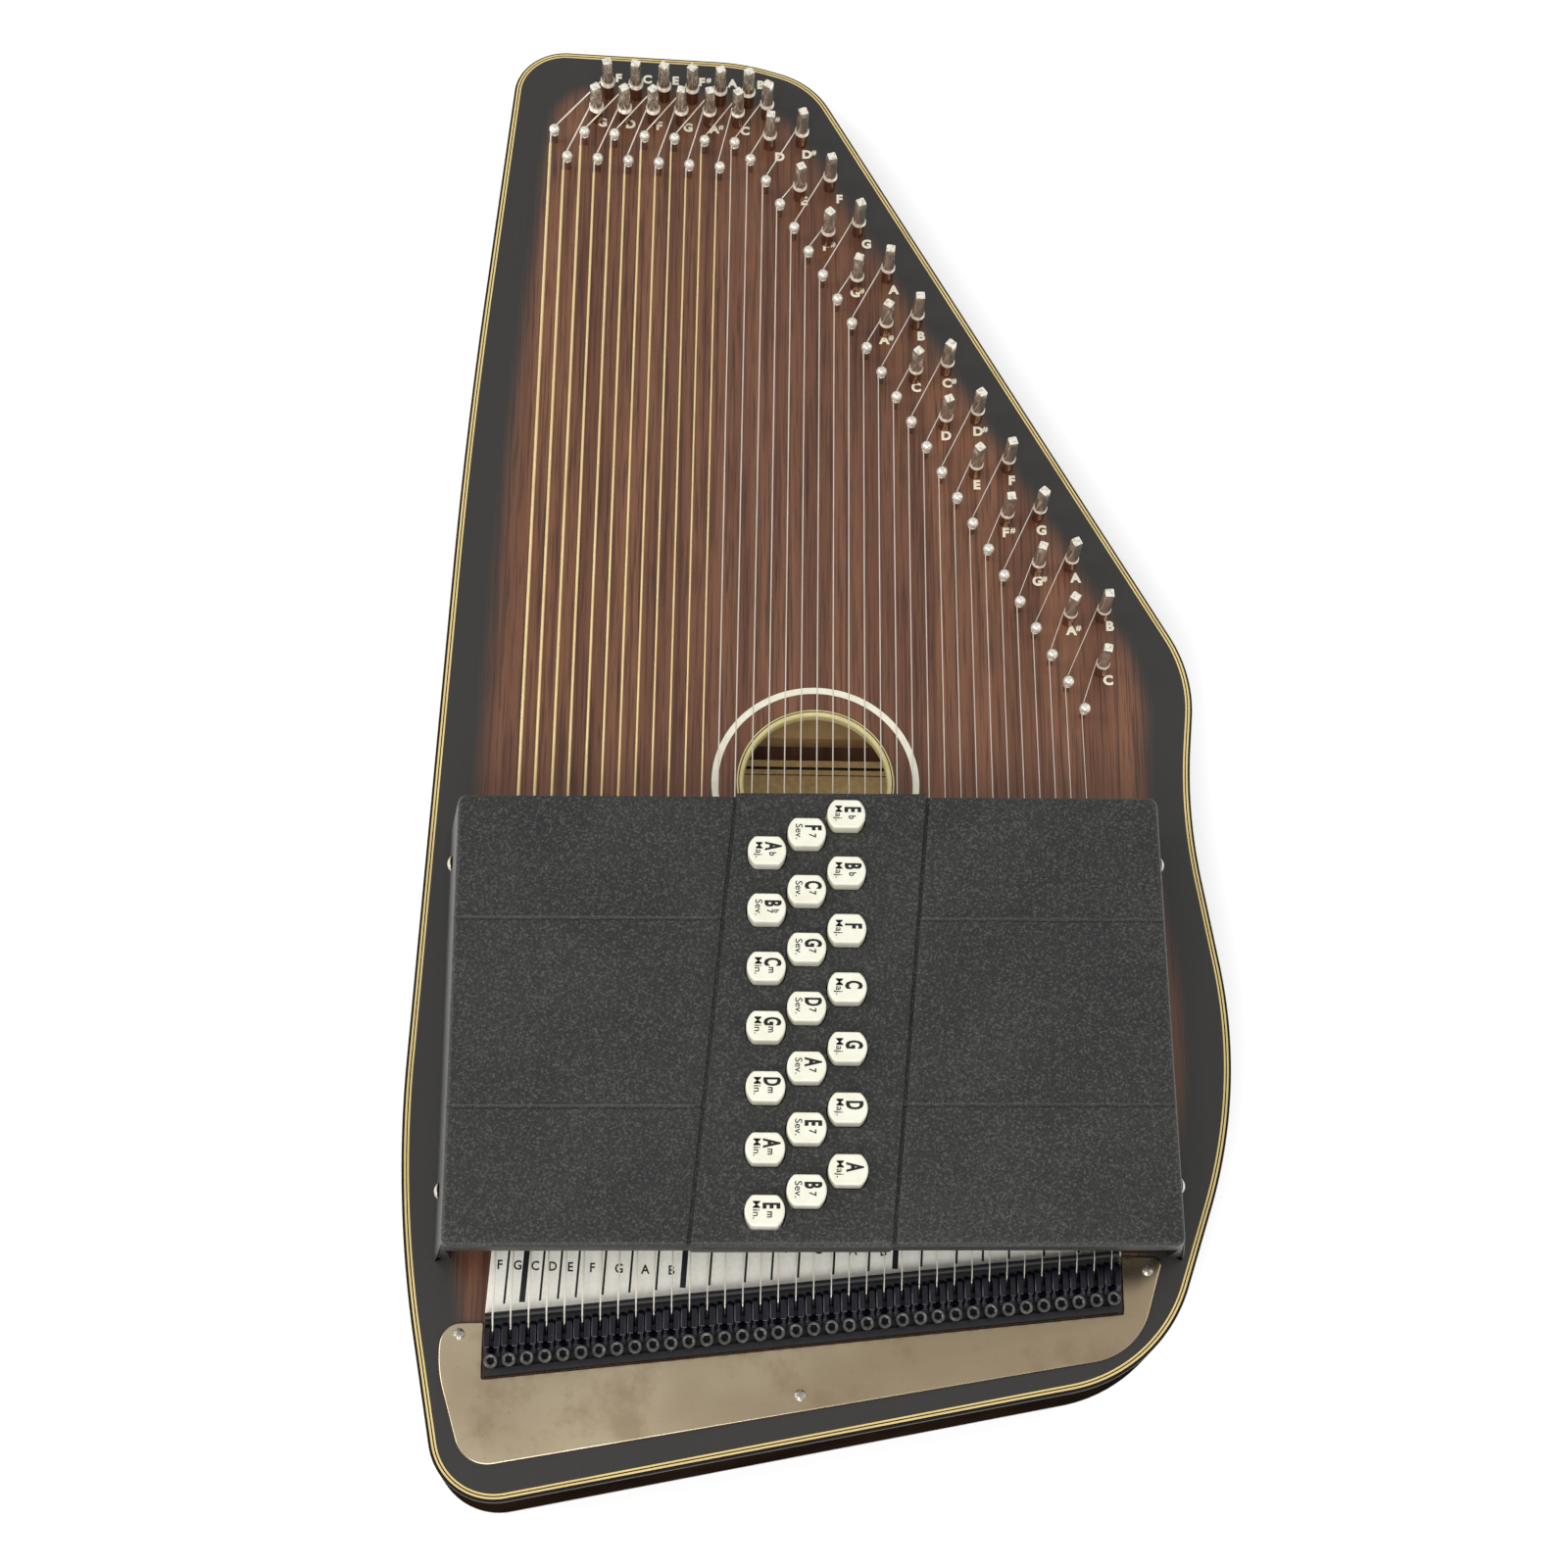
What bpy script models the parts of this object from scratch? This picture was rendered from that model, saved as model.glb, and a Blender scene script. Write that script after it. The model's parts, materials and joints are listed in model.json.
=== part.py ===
"""Autoharp with 36 strings and 21 chord bars, lying on its back with the strings up.

Metres, +Z up. +X is the treble side and +Y is the end with the tuning pins. The origin is under
the middle of the body, on the plane that its back rests on. Where many like pieces share a node,
such as the tuning pins, they are one solid with a slice of what holds them.
"""

import math

import bmesh
import bpy
from mathutils import Matrix, Vector

MM = 0.001
GAP = 0.3 * MM  # between pieces that touch

# Body: corners of its outline as x, y, radius, turning left from the bass end of the tail
OUTLINE = [
    (-134.0 * MM, -313.0 * MM, 24 * MM),
    (123.0 * MM, -262.5 * MM, 58 * MM),
    (159.5 * MM, -155.5 * MM, 200 * MM),
    (143.0 * MM, -46.0 * MM, 220 * MM),
    (149.0 * MM, 13.5 * MM, 60 * MM),
    (-3.0 * MM, 292.5 * MM, 36 * MM),
    (-33.0 * MM, 302.0 * MM, 90 * MM),
    (-130.5 * MM, 306.0 * MM, 22 * MM),
    (-145.0 * MM, 117.0 * MM, 3000 * MM),
    (-156.0 * MM, -201.5 * MM, 450 * MM),
]
CHORD_ERROR = 0.3 * MM  # how far an arc's chords stray from it
BOARD = 3 * MM
FRAME_DEPTH = 28 * MM
RAIL_WIDTH = 16 * MM
BINDING_WIDTH = 3 * MM
TOP = 2 * BOARD + FRAME_DEPTH  # upper face of the soundboard
FAR = 500 * MM  # reach of a cutter that runs off the body

# Sound hole
HOLE_CENTRE = (-2.0 * MM, -36.0 * MM)
HOLE_RADIUS = 28.5 * MM
HOLE_SIDES = 32

# Strings, counted from the bass side
STRING_NOTES = (
    "F G C D E F F# G A A# B C C# D D# E F F# G G# A A# B C C# D D# E F F# G G# A A# B C".split()
)
STRINGS = len(STRING_NOTES)
WOUND_STRINGS = 12
STRING_PITCH = 6.35 * MM
STRING_CENTRE_X = -6.3 * MM
STRING_HEIGHT = 8.2 * MM  # above the soundboard
WRAP_RADIUS = (0.85 * MM, 0.42 * MM)  # first and last wound string
CORE_RADIUS = (0.34 * MM, 0.24 * MM)
PLAIN_RADIUS = (0.26 * MM, 0.16 * MM)
WRAP_START_Y = -200 * MM
WRAP_END_BELOW_GUIDE = 7 * MM
WRAP_TAPER = 1.5 * MM
BALL_RADIUS = 1.9 * MM
BALL_LENGTH = 2.8 * MM

# Pin block: how far its inner edges lie from the body's slanting and head edges. The places of
# the pins are measured from the corner where those inner edges meet.
SLANT_BLOCK_WIDTH = 60 * MM
HEAD_BLOCK_WIDTH = 66 * MM

# Guide pins as start and step, a pair of rows at the head and one row along the slant
GUIDE_ODD = ((-72.8 * MM, 22.3 * MM), (12.8 * MM, -0.72 * MM))
GUIDE_EVEN = ((-66.9 * MM, 9.0 * MM), (12.95 * MM, -0.7 * MM))
GUIDE_FOURTEEN = (10.8 * MM, 9.7 * MM)
GUIDE_SLANT = ((17.5 * MM, -0.9 * MM), (6.02 * MM, -11.5 * MM))
GUIDE_NECK_RADIUS = 1.1 * MM
GUIDE_HEAD_RADIUS = 2.3 * MM
GUIDE_HEAD = 1.1 * MM
GUIDE_HEIGHT = 11 * MM
GUIDE_SIDES = 6

# Tuning pins as start and step
PIN_ODD = ((-50.8 * MM, 47.2 * MM), (12.1 * MM, -0.65 * MM))
PIN_EVEN = ((-55.3 * MM, 34.3 * MM), (12.1 * MM, -0.15 * MM))
PIN_THIRTEEN = (17.7 * MM, 37.9 * MM)
PIN_FOURTEEN = (19.0 * MM, 22.4 * MM)
PIN_OUTER = ((32.7 * MM, 24.3 * MM), (12.06 * MM, -22.33 * MM))
PIN_INNER = ((31.9 * MM, -3.2 * MM), (12.0 * MM, -21.95 * MM))
PIN_RADIUS = 2.5 * MM
PIN_HEAD_WIDTH = 3.6 * MM
PIN_HEIGHT = 23.5 * MM
PIN_HEAD_LENGTH = 10 * MM
PIN_SHANK_ANGLES = (30, 90, 150, 210, 270, 330)
PIN_HEAD_ANGLES = (45, 90, 135, 225, 270, 315)
BORE_SIDES = 6
PLY = 1 * MM  # the slices that the pins are one solid with, in a recess of the pin block
PLY_INSET = 6 * MM
GUIDE_ZONE = (19 * MM, 25 * MM)  # widths of the guide pins' slice, from the block's inner edges
PIN_COIL_HEIGHT = 9 * MM  # where the string meets its tuning pin

# Fine tuner: a line across the tail, and offsets along Y from that line
TUNER_Y = -249 * MM
TUNER_SLOPE = 0.1104
TAIL_BLOCK_FRONT = 26 * MM  # front edge of the block that the tuner is screwed to
TUNER_MARGIN = 0.4 * MM
RAIL_BACK = -4.2 * MM
RAIL_FRONT = 17.6 * MM
RAIL_FLOOR = 1.3 * MM
RAIL_LAND = 3.2 * MM
RAIL_FRONT_LAND = 4.8 * MM
SCREW_CHANNEL = 3.6 * MM
BALL_TROUGH = (3.6 * MM, 12.6 * MM)
BALL_START = 5.2 * MM
SADDLE_RADIUS = 1.3 * MM
SADDLE_OFFSET = 16 * MM
SADDLE_SIDES = 8
STRING_PRESS = 0.35  # height of a string's middle over the rod's top, as a share of its radius
CLAW_WIDTH = 5.85 * MM
CLAW_PLATE = 2 * MM
CLAW_FRONT = 13.6 * MM
CLAW_TOP = 8.2 * MM
CLAW_NOSE = 1.8 * MM
CLAW_SLOT = 2 * MM
CLAW_SLOT_START = 8.9 * MM
CAP_SCREW_HEAD_RADIUS = 2.5 * MM
CAP_SCREW_HEAD = 2.8 * MM
CAP_SCREW_RADIUS = 1.4 * MM
CAP_SCREW_SIDES = 6
STRIP_INSET = 0.4 * MM  # of the strips that join the claws and the screws, inside what they join
CLAW_STRIP = (1.4 * MM, 0.8 * MM)
SCREW_STRIP = (3 * MM, 1.2 * MM)

# Tail plate: corners as x past the fine tuner's end, y, radius; the first and last stand at its mouth
PLATE_BASS = [
    (0.7 * MM, -246.3 * MM, 1 * MM),
    (16.0 * MM, -246.9 * MM, 10 * MM),
    (16.6 * MM, -263.0 * MM, 60 * MM),
    (5.9 * MM, -297.8 * MM, 12 * MM),
]
PLATE_TREBLE = [
    (6.4 * MM, -255.6 * MM, 26 * MM),
    (16.9 * MM, -220.6 * MM, 2.5 * MM),
    (1.5 * MM, -220.0 * MM, 1 * MM),
]
MOUTH_GAPS = (0.64816 * MM, 0.64016 * MM)  # from the rail's back to the mouth, at both ends
MOUTH_CORNER = 0.6 * MM
PLATE_THICKNESS = 1.2 * MM

# Chord bars, from the one nearest the sound hole to the one nearest the tail
CHORDS = "Eb F7 Ab Bb C7 Bb7 F G7 Cm C D7 Gm G A7 Dm D E7 Am A B7 Em".split()
BAR_PITCH = 7.46 * MM
FIRST_BAR_Y = -64.4 * MM
BAR_WIDTH = 5.4 * MM
BAR_HEIGHT = 9 * MM
BAR_OVERHANG = (10.575 * MM, 11.775 * MM)  # past the outermost strings' places at the fine tuner
FELT_THICKNESS = 4.5 * MM
FELT_OVERLAP = 2.2 * MM  # past the last string that a pad damps
TRAVEL = 3.6 * MM

# Chord buttons in three columns
COLUMN_X = (7.6 * MM, -7.1 * MM, -21.8 * MM)
CAP_RADIUS = 7.1 * MM
CAP_HALF_LENGTH = 5.6 * MM
CAP_RISE = 6 * MM  # above the cover
CAP_CLEARANCE = 0.5 * MM
STEM_HALF = (5 * MM, 2.3 * MM)
CAP_ARC_STEPS = 3

# Bar holders and springs
HOLDER_WIDTH = 14.2 * MM
HOLDER_INSET = (9.0 * MM, 8.6 * MM)  # of the holders' inner faces from a bar's ends
HOLDER_HEIGHT = 24 * MM
HOLDER_FLOOR = 6 * MM
HOLDER_END = 2.4 * MM  # material past the first and last slot
SLOT_CLEARANCE = 0.4 * MM
SPRING_RADIUS = 2.2 * MM
SPRING_INSET = 4.5 * MM  # from a bar's end
SPRING_SIDES = 6
SPRING_STRIP = (3.4 * MM, 1.2 * MM)  # the strip under a row of springs, in a groove of the holder
SPRING_FOOT = 0.4 * MM  # of a spring inside its strip

# Cover
COVER_OVERHANG = (7.5 * MM, 7.7 * MM)  # past a bar's ends
COVER_Y = (-226.0 * MM, -54.4 * MM)
COVER_HEIGHT = 35 * MM
COVER_SEAT = 0.8 * MM  # of its skin's lower edge, which leans inward through the wall
COVER_WALL = 2.2 * MM
COVER_FLARE = (5.6 * MM, 0.8 * MM)
COVER_CORNER = 3 * MM
COVER_EDGE = 1.5 * MM
COVER_CORNER_STEPS = 2
WINDOW_HEIGHT = 22.5 * MM
WINDOW_SIDE = 0.3 * MM  # from each window to the side walls
HOLD_DOWN_WIDTH = 8 * MM
HOLD_DOWN_FUSE = 0.5 * MM  # of the hold-down ribs inside the cover's top


# Places and heights that follow from the sizes above
OUTER_STRING = (STRINGS - 1) / 2 * STRING_PITCH
BAR_ENDS = (
    STRING_CENTRE_X - OUTER_STRING - BAR_OVERHANG[0],
    STRING_CENTRE_X + OUTER_STRING + BAR_OVERHANG[1],
)
HOLDER_INSIDE = (BAR_ENDS[0] + HOLDER_INSET[0], BAR_ENDS[1] - HOLDER_INSET[1])
COVER_X = (BAR_ENDS[0] - COVER_OVERHANG[0], BAR_ENDS[1] + COVER_OVERHANG[1])
PLY_BOTTOM = TOP - BOARD - GAP - PLY
FELT_BOTTOM = TOP + STRING_HEIGHT + WRAP_RADIUS[0] + GAP + TRAVEL
BAR_BOTTOM = FELT_BOTTOM + FELT_THICKNESS
BAR_TOP = BAR_BOTTOM + BAR_HEIGHT
CAP_BOTTOM = BAR_TOP + TRAVEL + 2 * GAP
COVER_TOP = TOP + COVER_HEIGHT
CLAW_BOTTOM = RAIL_LAND + GAP
SADDLE_Z = TOP + RAIL_FRONT_LAND + GAP + SADDLE_RADIUS


# Outlines


def rounded(corners):
    """Return a closed outline whose corners, given as x, y, radius, are arcs."""
    points = []
    for index, (x, y, radius) in enumerate(corners):
        here = Vector((x, y))
        before = Vector(corners[index - 1][:2]) - here
        after = Vector(corners[(index + 1) % len(corners)][:2]) - here
        turn = math.pi - before.angle(after)
        reach = min(radius * math.tan(turn / 2), 0.49 * before.length, 0.49 * after.length)
        radius = reach / math.tan(turn / 2)
        centre = here + (before.normalized() + after.normalized()).normalized() * math.hypot(radius, reach)
        start = here + before.normalized() * reach - centre
        step = 2 * math.acos(1 - min(CHORD_ERROR / radius, 0.9))
        count = max(1, math.ceil(turn / step))
        side = math.copysign(turn, before.x * after.y - before.y * after.x)
        for part in range(count + 1):
            spoke = Matrix.Rotation(-side * part / count, 2) @ start
            points.append(centre + spoke)
    return points


def inset(points, distance):
    """Return the outline moved inward; the outline turns left."""
    moved = []
    for index, point in enumerate(points):
        before = (point - points[index - 1]).normalized()
        after = (points[(index + 1) % len(points)] - point).normalized()
        normals = Vector((-before.y, before.x)) + Vector((-after.y, after.x))
        normal = normals.normalized()
        moved.append(point + normal * distance / max(0.3, normal.dot(Vector((-after.y, after.x)))))
    return moved


def circle(centre, radius, sides=HOLE_SIDES):
    """Return the points of a circle."""
    turns = [2 * math.pi * side / sides for side in range(sides)]
    return [Vector((centre[0] + radius * math.cos(a), centre[1] + radius * math.sin(a))) for a in turns]


def meeting(point_a, along_a, point_b, along_b):
    """Return where two lines meet."""
    cross = along_a.x * along_b.y - along_a.y * along_b.x
    between = point_b - point_a
    return point_a + along_a * (between.x * along_b.y - between.y * along_b.x) / cross


def clipped(points, edge_point, along):
    """Return the part of an outline that lies to the left of a line."""
    normal = Vector((-along.y, along.x))
    kept = []
    for index, point in enumerate(points):
        before = points[index - 1]
        side, side_before = (point - edge_point).dot(normal), (before - edge_point).dot(normal)
        if side * side_before < 0:
            kept.append(before.lerp(point, side_before / (side_before - side)))
        if side > 0:
            kept.append(point)
    return kept


# Objects


def clear_scene():
    for item in list(bpy.data.objects):
        bpy.data.objects.remove(item)


def material(name, colour, roughness, metallic=0.0):
    """Return a plain Principled material."""
    made = bpy.data.materials.new(name)
    made.use_nodes = True
    shader = made.node_tree.nodes["Principled BSDF"]
    shader.inputs["Base Color"].default_value = (*colour, 1.0)
    shader.inputs["Roughness"].default_value = roughness
    shader.inputs["Metallic"].default_value = metallic
    return made


def add_object(name, data, collection):
    made = bpy.data.objects.new(name, data)
    collection.objects.link(made)
    return made


def applied(made):
    """Return an object's mesh with its modifiers, in world coordinates, and remove the object."""
    bpy.context.view_layer.update()
    evaluated = made.evaluated_get(bpy.context.evaluated_depsgraph_get())
    mesh = bpy.data.meshes.new_from_object(evaluated)
    mesh.transform(made.matrix_world)
    bpy.data.objects.remove(made)
    return mesh


def finish_mesh(bm, name):
    """Return the mesh with its faces turned outward."""
    bmesh.ops.recalc_face_normals(bm, faces=bm.faces)
    mesh = bpy.data.meshes.new(name)
    bm.to_mesh(mesh)
    bm.free()
    return mesh


def box_mesh(name, low, high):
    """Return a box between two corners."""
    bm = bmesh.new()
    bmesh.ops.create_cube(bm, size=1.0)
    low, high = Vector(low), Vector(high)
    size = high - low
    bmesh.ops.transform(bm, verts=bm.verts, matrix=Matrix.Diagonal((*size, 1)))
    bmesh.ops.translate(bm, verts=bm.verts, vec=(low + high) / 2)
    return finish_mesh(bm, name)


def cylinder_mesh(name, radius, low, high, sides):
    """Return an upright cylinder on the Z axis."""
    bm = bmesh.new()
    bmesh.ops.create_cone(
        bm, cap_ends=True, segments=sides, radius1=radius, radius2=radius, depth=high - low
    )
    bmesh.ops.translate(bm, verts=bm.verts, vec=(0, 0, (low + high) / 2))
    return finish_mesh(bm, name)


def loft_mesh(name, rings):
    """Return a closed solid through rings that have as many points each."""
    bm = bmesh.new()
    loops = [[bm.verts.new(point) for point in ring] for ring in rings]
    for lower, upper in zip(loops, loops[1:]):
        for index in range(len(lower)):
            following = (index + 1) % len(lower)
            bm.faces.new((lower[index], lower[following], upper[following], upper[index]))
    bm.faces.new(reversed(loops[0]))
    bm.faces.new(loops[-1])
    return finish_mesh(bm, name)


def flat_mesh(name, loops, low, high, collection):
    """Return outlines filled and given a thickness, holes included."""
    curve = bpy.data.curves.new(name, "CURVE")
    curve.dimensions = "2D"
    curve.fill_mode = "BOTH"
    curve.extrude = (high - low) / 2
    for loop in loops:
        spline = curve.splines.new("POLY")
        spline.points.add(len(loop) - 1)
        for target, point in zip(spline.points, loop):
            target.co = (point[0], point[1], 0, 1)
        spline.use_cyclic_u = True
    drawn = add_object(name, curve, collection)
    drawn.location.z = (low + high) / 2
    bm = bmesh.new()
    bm.from_mesh(applied(drawn))
    bmesh.ops.remove_doubles(bm, verts=bm.verts, dist=0.01 * MM)
    return finish_mesh(bm, name)


def turned_mesh(name, profile, sides):
    """Return a closed solid turned round Z; the profile runs down its outer side."""
    bm = bmesh.new()
    verts = [bm.verts.new((radius, 0, height)) for radius, height in profile]
    for upper, lower in zip(verts, verts[1:]):
        bm.edges.new((upper, lower))
    if profile[0][0] > 0:
        bm.edges.new((verts[-1], verts[0]))
    mesh = bpy.data.meshes.new(name)
    bm.to_mesh(mesh)
    bm.free()
    turned = add_object(name, mesh, bpy.context.scene.collection)
    screw = turned.modifiers.new("turn", "SCREW")
    screw.steps = screw.render_steps = sides
    screw.use_merge_vertices = True
    screw.merge_threshold = 0.01 * MM
    bm = bmesh.new()
    bm.from_mesh(applied(turned))
    return finish_mesh(bm, name)


def scattered(name, pieces):
    """Return one mesh of separate solids, each a mesh and a matrix or a place."""
    bm = bmesh.new()
    for mesh, place in pieces:
        copy = mesh.copy()
        copy.transform(place if isinstance(place, Matrix) else Matrix.Translation(place))
        bm.from_mesh(copy)
        bpy.data.meshes.remove(copy)
    mesh = bpy.data.meshes.new(name)
    bm.to_mesh(mesh)
    bm.free()
    return mesh


class Workshop:
    """Holds the collections and materials that the pieces go into."""

    def __init__(self):
        self.parts = bpy.data.collections.new("autoharp")
        self.cutters = bpy.data.collections.new("cutters")
        for collection in (self.parts, self.cutters):
            bpy.context.scene.collection.children.link(collection)
        self.wood = material("lacquered wood", (0.20, 0.09, 0.05), 0.35)
        self.bare_wood = material("maple", (0.62, 0.45, 0.28), 0.55)
        self.cream = material("cream plastic", (0.93, 0.90, 0.74), 0.35)
        self.black = material("black plastic", (0.045, 0.045, 0.048), 0.5)
        self.black_metal = material("black metal", (0.02, 0.02, 0.025), 0.3, 0.6)
        self.nickel = material("nickel", (0.70, 0.68, 0.64), 0.22, 1.0)
        self.chrome = material("chrome", (0.75, 0.72, 0.68), 0.1, 1.0)
        self.steel = material("string steel", (0.55, 0.52, 0.50), 0.3, 1.0)
        self.bronze = material("string wrap", (0.80, 0.56, 0.25), 0.3, 1.0)

    def part(self, name, mesh, finish, place=(0, 0, 0)):
        """Add a node; its mesh is given in world coordinates, its origin at place."""
        mesh.transform(Matrix.Translation(-Vector(place)))
        mesh.materials.clear()
        mesh.materials.append(finish)
        made = add_object(name, mesh, self.parts)
        made.location = place
        return made

    def cutter(self, name, mesh):
        made = add_object(name, mesh, self.cutters)
        made.hide_render = True
        made.display_type = "WIRE"
        return made

    def cut(self, target, tool, operation="DIFFERENCE"):
        boolean = target.modifiers.new(tool.name, "BOOLEAN")
        boolean.operation = operation
        boolean.solver = "EXACT"
        boolean.object = tool


# Places


def block_lines(slant_width, head_width):
    """Return where lines so far inside the slanting and head edges meet, and both lines' ways."""
    slant_start, slant_end = Vector(OUTLINE[5][:2]), Vector(OUTLINE[4][:2])
    head_start, head_end = Vector(OUTLINE[7][:2]), Vector(OUTLINE[6][:2])
    slant = (slant_end - slant_start).normalized()
    head = (head_end - head_start).normalized()
    slant_edge = slant_start + Vector((slant.y, -slant.x)) * slant_width
    head_edge = head_start + Vector((head.y, -head.x)) * head_width
    return meeting(head_edge, head, slant_edge, slant), slant, head


def from_block(place):
    """Return a place that is given from the pin block's inner corner."""
    return block_lines(SLANT_BLOCK_WIDTH, HEAD_BLOCK_WIDTH)[0] + Vector(place)


def row(start_and_step, count):
    """Return evenly stepped places on the pin block."""
    start, step = start_and_step
    return [from_block(start) + Vector(step) * index for index in range(count)]


def interleaved(first, second):
    return [place for pair in zip(first, second) for place in pair]


def guide_places():
    """Return the guide pins' places, bass to treble."""
    head = interleaved(row(GUIDE_ODD, 7), row(GUIDE_EVEN, 6) + [from_block(GUIDE_FOURTEEN)])
    return head + row(GUIDE_SLANT, STRINGS - len(head))


def tuning_pin_places():
    """Return the tuning pins' places, bass to treble."""
    head = interleaved(row(PIN_ODD, 6), row(PIN_EVEN, 6))
    head += [from_block(PIN_THIRTEEN), from_block(PIN_FOURTEEN)]
    pairs = (STRINGS - len(head)) // 2
    return head + interleaved(row(PIN_OUTER, pairs), row(PIN_INNER, pairs))


def tuner_line_y(x):
    """Return the fine tuner line's Y at x."""
    return TUNER_Y + TUNER_SLOPE * (x - STRING_CENTRE_X)


def anchor_x(index):
    """Return a string's X at the fine tuner."""
    return STRING_CENTRE_X + (index - (STRINGS - 1) / 2) * STRING_PITCH


def shared(ends, index, count):
    """Return the value at index of a run that goes evenly from one end to the other."""
    return ends[0] + (ends[1] - ends[0]) * index / (count - 1)


def string_radii(index):
    """Return the radius of a string's wire and of its wrap, if it has one."""
    if index < WOUND_STRINGS:
        return shared(CORE_RADIUS, index, WOUND_STRINGS), shared(WRAP_RADIUS, index, WOUND_STRINGS)
    return shared(PLAIN_RADIUS, index - WOUND_STRINGS, STRINGS - WOUND_STRINGS), None


def string_guide_point(index):
    """Return where a string passes its guide pin, on the pin's bass side."""
    guide = guide_places()[index]
    offset = GUIDE_NECK_RADIUS + GAP + string_radii(index)[0]
    return Vector((guide.x - offset, guide.y, TOP + STRING_HEIGHT))


def saddle_point(index):
    """Return where a string crosses the saddle rod, pressed a little way into the rod."""
    x = anchor_x(index)
    height = SADDLE_Z + SADDLE_RADIUS + STRING_PRESS * string_radii(index)[0]
    return Vector((x, tuner_line_y(x) + SADDLE_OFFSET, height))


def string_x(index, y):
    """Return a string's X where it crosses y."""
    start, end = saddle_point(index), string_guide_point(index)
    return start.x + (end.x - start.x) * (y - start.y) / (end.y - start.y)


def bar_y(index):
    return FIRST_BAR_Y - index * BAR_PITCH


# Body


def beyond(slant_width, head_width):
    """Return the corners of all that lies farther than this from the slanting and head edges."""
    corner, slant, head = block_lines(slant_width, head_width)
    left = corner - head * FAR
    return [corner, left, left + Vector((0, -2 * FAR)), corner + slant * 2 * FAR]


def cavity(outline):
    """Return the hollow inside the rails, in front of the tail block and on under the pin block."""
    tail = Vector((1, TUNER_SLOPE)).normalized()
    front = Vector((STRING_CENTRE_X, TUNER_Y + TAIL_BLOCK_FRONT))
    return clipped(inset(outline, RAIL_WIDTH), front, tail)


def zone_cutter(shop, name, slant_width, head_width):
    """Return a cutter for the region beyond these widths, through the body's frame."""
    mesh = flat_mesh(name, [beyond(slant_width, head_width)], BOARD, TOP, shop.parts)
    return shop.cutter(name, mesh)


def build_body(shop, outline, pin_bores, guide_bores):
    low, high = BOARD + GAP, TOP - BOARD - GAP
    shop.part("back_board", flat_mesh("back_board", [outline], 0, BOARD, shop.parts), shop.wood)

    block = shop.part("pin_block", flat_mesh("pin_block", [outline], low, high, shop.parts), shop.bare_wood)
    shop.cut(block, zone_cutter(shop, "block_free", SLANT_BLOCK_WIDTH, HEAD_BLOCK_WIDTH))
    recess = flat_mesh("ply_recess", [inset(outline, PLY_INSET)], PLY_BOTTOM - GAP, TOP, shop.parts)
    shop.cut(block, shop.cutter("ply_recess", recess))

    rails = flat_mesh("body_rails", [outline, cavity(outline)], low, high, shop.parts)
    rails = shop.part("body_rails", rails, shop.bare_wood)
    kept = zone_cutter(shop, "clear_of_block", SLANT_BLOCK_WIDTH + GAP, HEAD_BLOCK_WIDTH + GAP)
    shop.cut(rails, kept, "INTERSECT")

    loops = [inset(outline, BINDING_WIDTH + GAP), circle(HOLE_CENTRE, HOLE_RADIUS)]
    board = flat_mesh("soundboard", loops, TOP - BOARD, TOP, shop.parts)
    board = shop.part("soundboard", board, shop.wood)
    shop.cut(board, pin_bores)
    shop.cut(board, guide_bores)

    loops = [outline, inset(outline, BINDING_WIDTH)]
    edge = flat_mesh("edge_binding", loops, TOP - BOARD, TOP, shop.parts)
    shop.part("edge_binding", edge, shop.cream)


# Pins


def squared(half_width, angle):
    """Return the point of a square's edge that lies at an angle from its centre."""
    reach = half_width / max(abs(math.cos(angle)), abs(math.sin(angle)))
    return reach * math.cos(angle), reach * math.sin(angle)


def tuning_pin_mesh():
    """Return a pin with a round shank and a tapered square head."""
    angles = [math.radians(angle) for angle in PIN_SHANK_ANGLES]
    shank = [(PIN_RADIUS * math.cos(a), PIN_RADIUS * math.sin(a)) for a in angles]
    head = [squared(PIN_HEAD_WIDTH / 2, math.radians(angle)) for angle in PIN_HEAD_ANGLES]
    foot = PLY_BOTTOM + PLY / 2 - TOP
    levels = ((shank, foot), (shank, PIN_HEIGHT - PIN_HEAD_LENGTH), (head, PIN_HEIGHT))
    return loft_mesh("tuning_pin", [[(x, y, z) for x, y in ring] for ring, z in levels])


def guide_pin_mesh():
    """Return a guide pin with a thin neck and a domed head."""
    foot = PLY_BOTTOM + PLY / 2 - TOP
    profile = [
        (0, GUIDE_HEIGHT),
        (GUIDE_HEAD_RADIUS, GUIDE_HEIGHT - GUIDE_HEAD),
        (GUIDE_NECK_RADIUS, STRING_HEIGHT + CORE_RADIUS[0] + GAP),
        (GUIDE_NECK_RADIUS, foot),
        (0, foot),
    ]
    return turned_mesh("guide_pin", profile, GUIDE_SIDES)


def bore_cutter(shop, name, places, radius):
    """Return cutters for holes through the soundboard."""
    across_corners = radius / math.cos(math.pi / BORE_SIDES)
    drill = cylinder_mesh(name, across_corners, TOP - 2 * BOARD, TOP + BOARD, BORE_SIDES)
    mesh = scattered(name, [(drill, Vector((p.x, p.y, 0))) for p in places])
    return shop.cutter(name, mesh)


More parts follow.
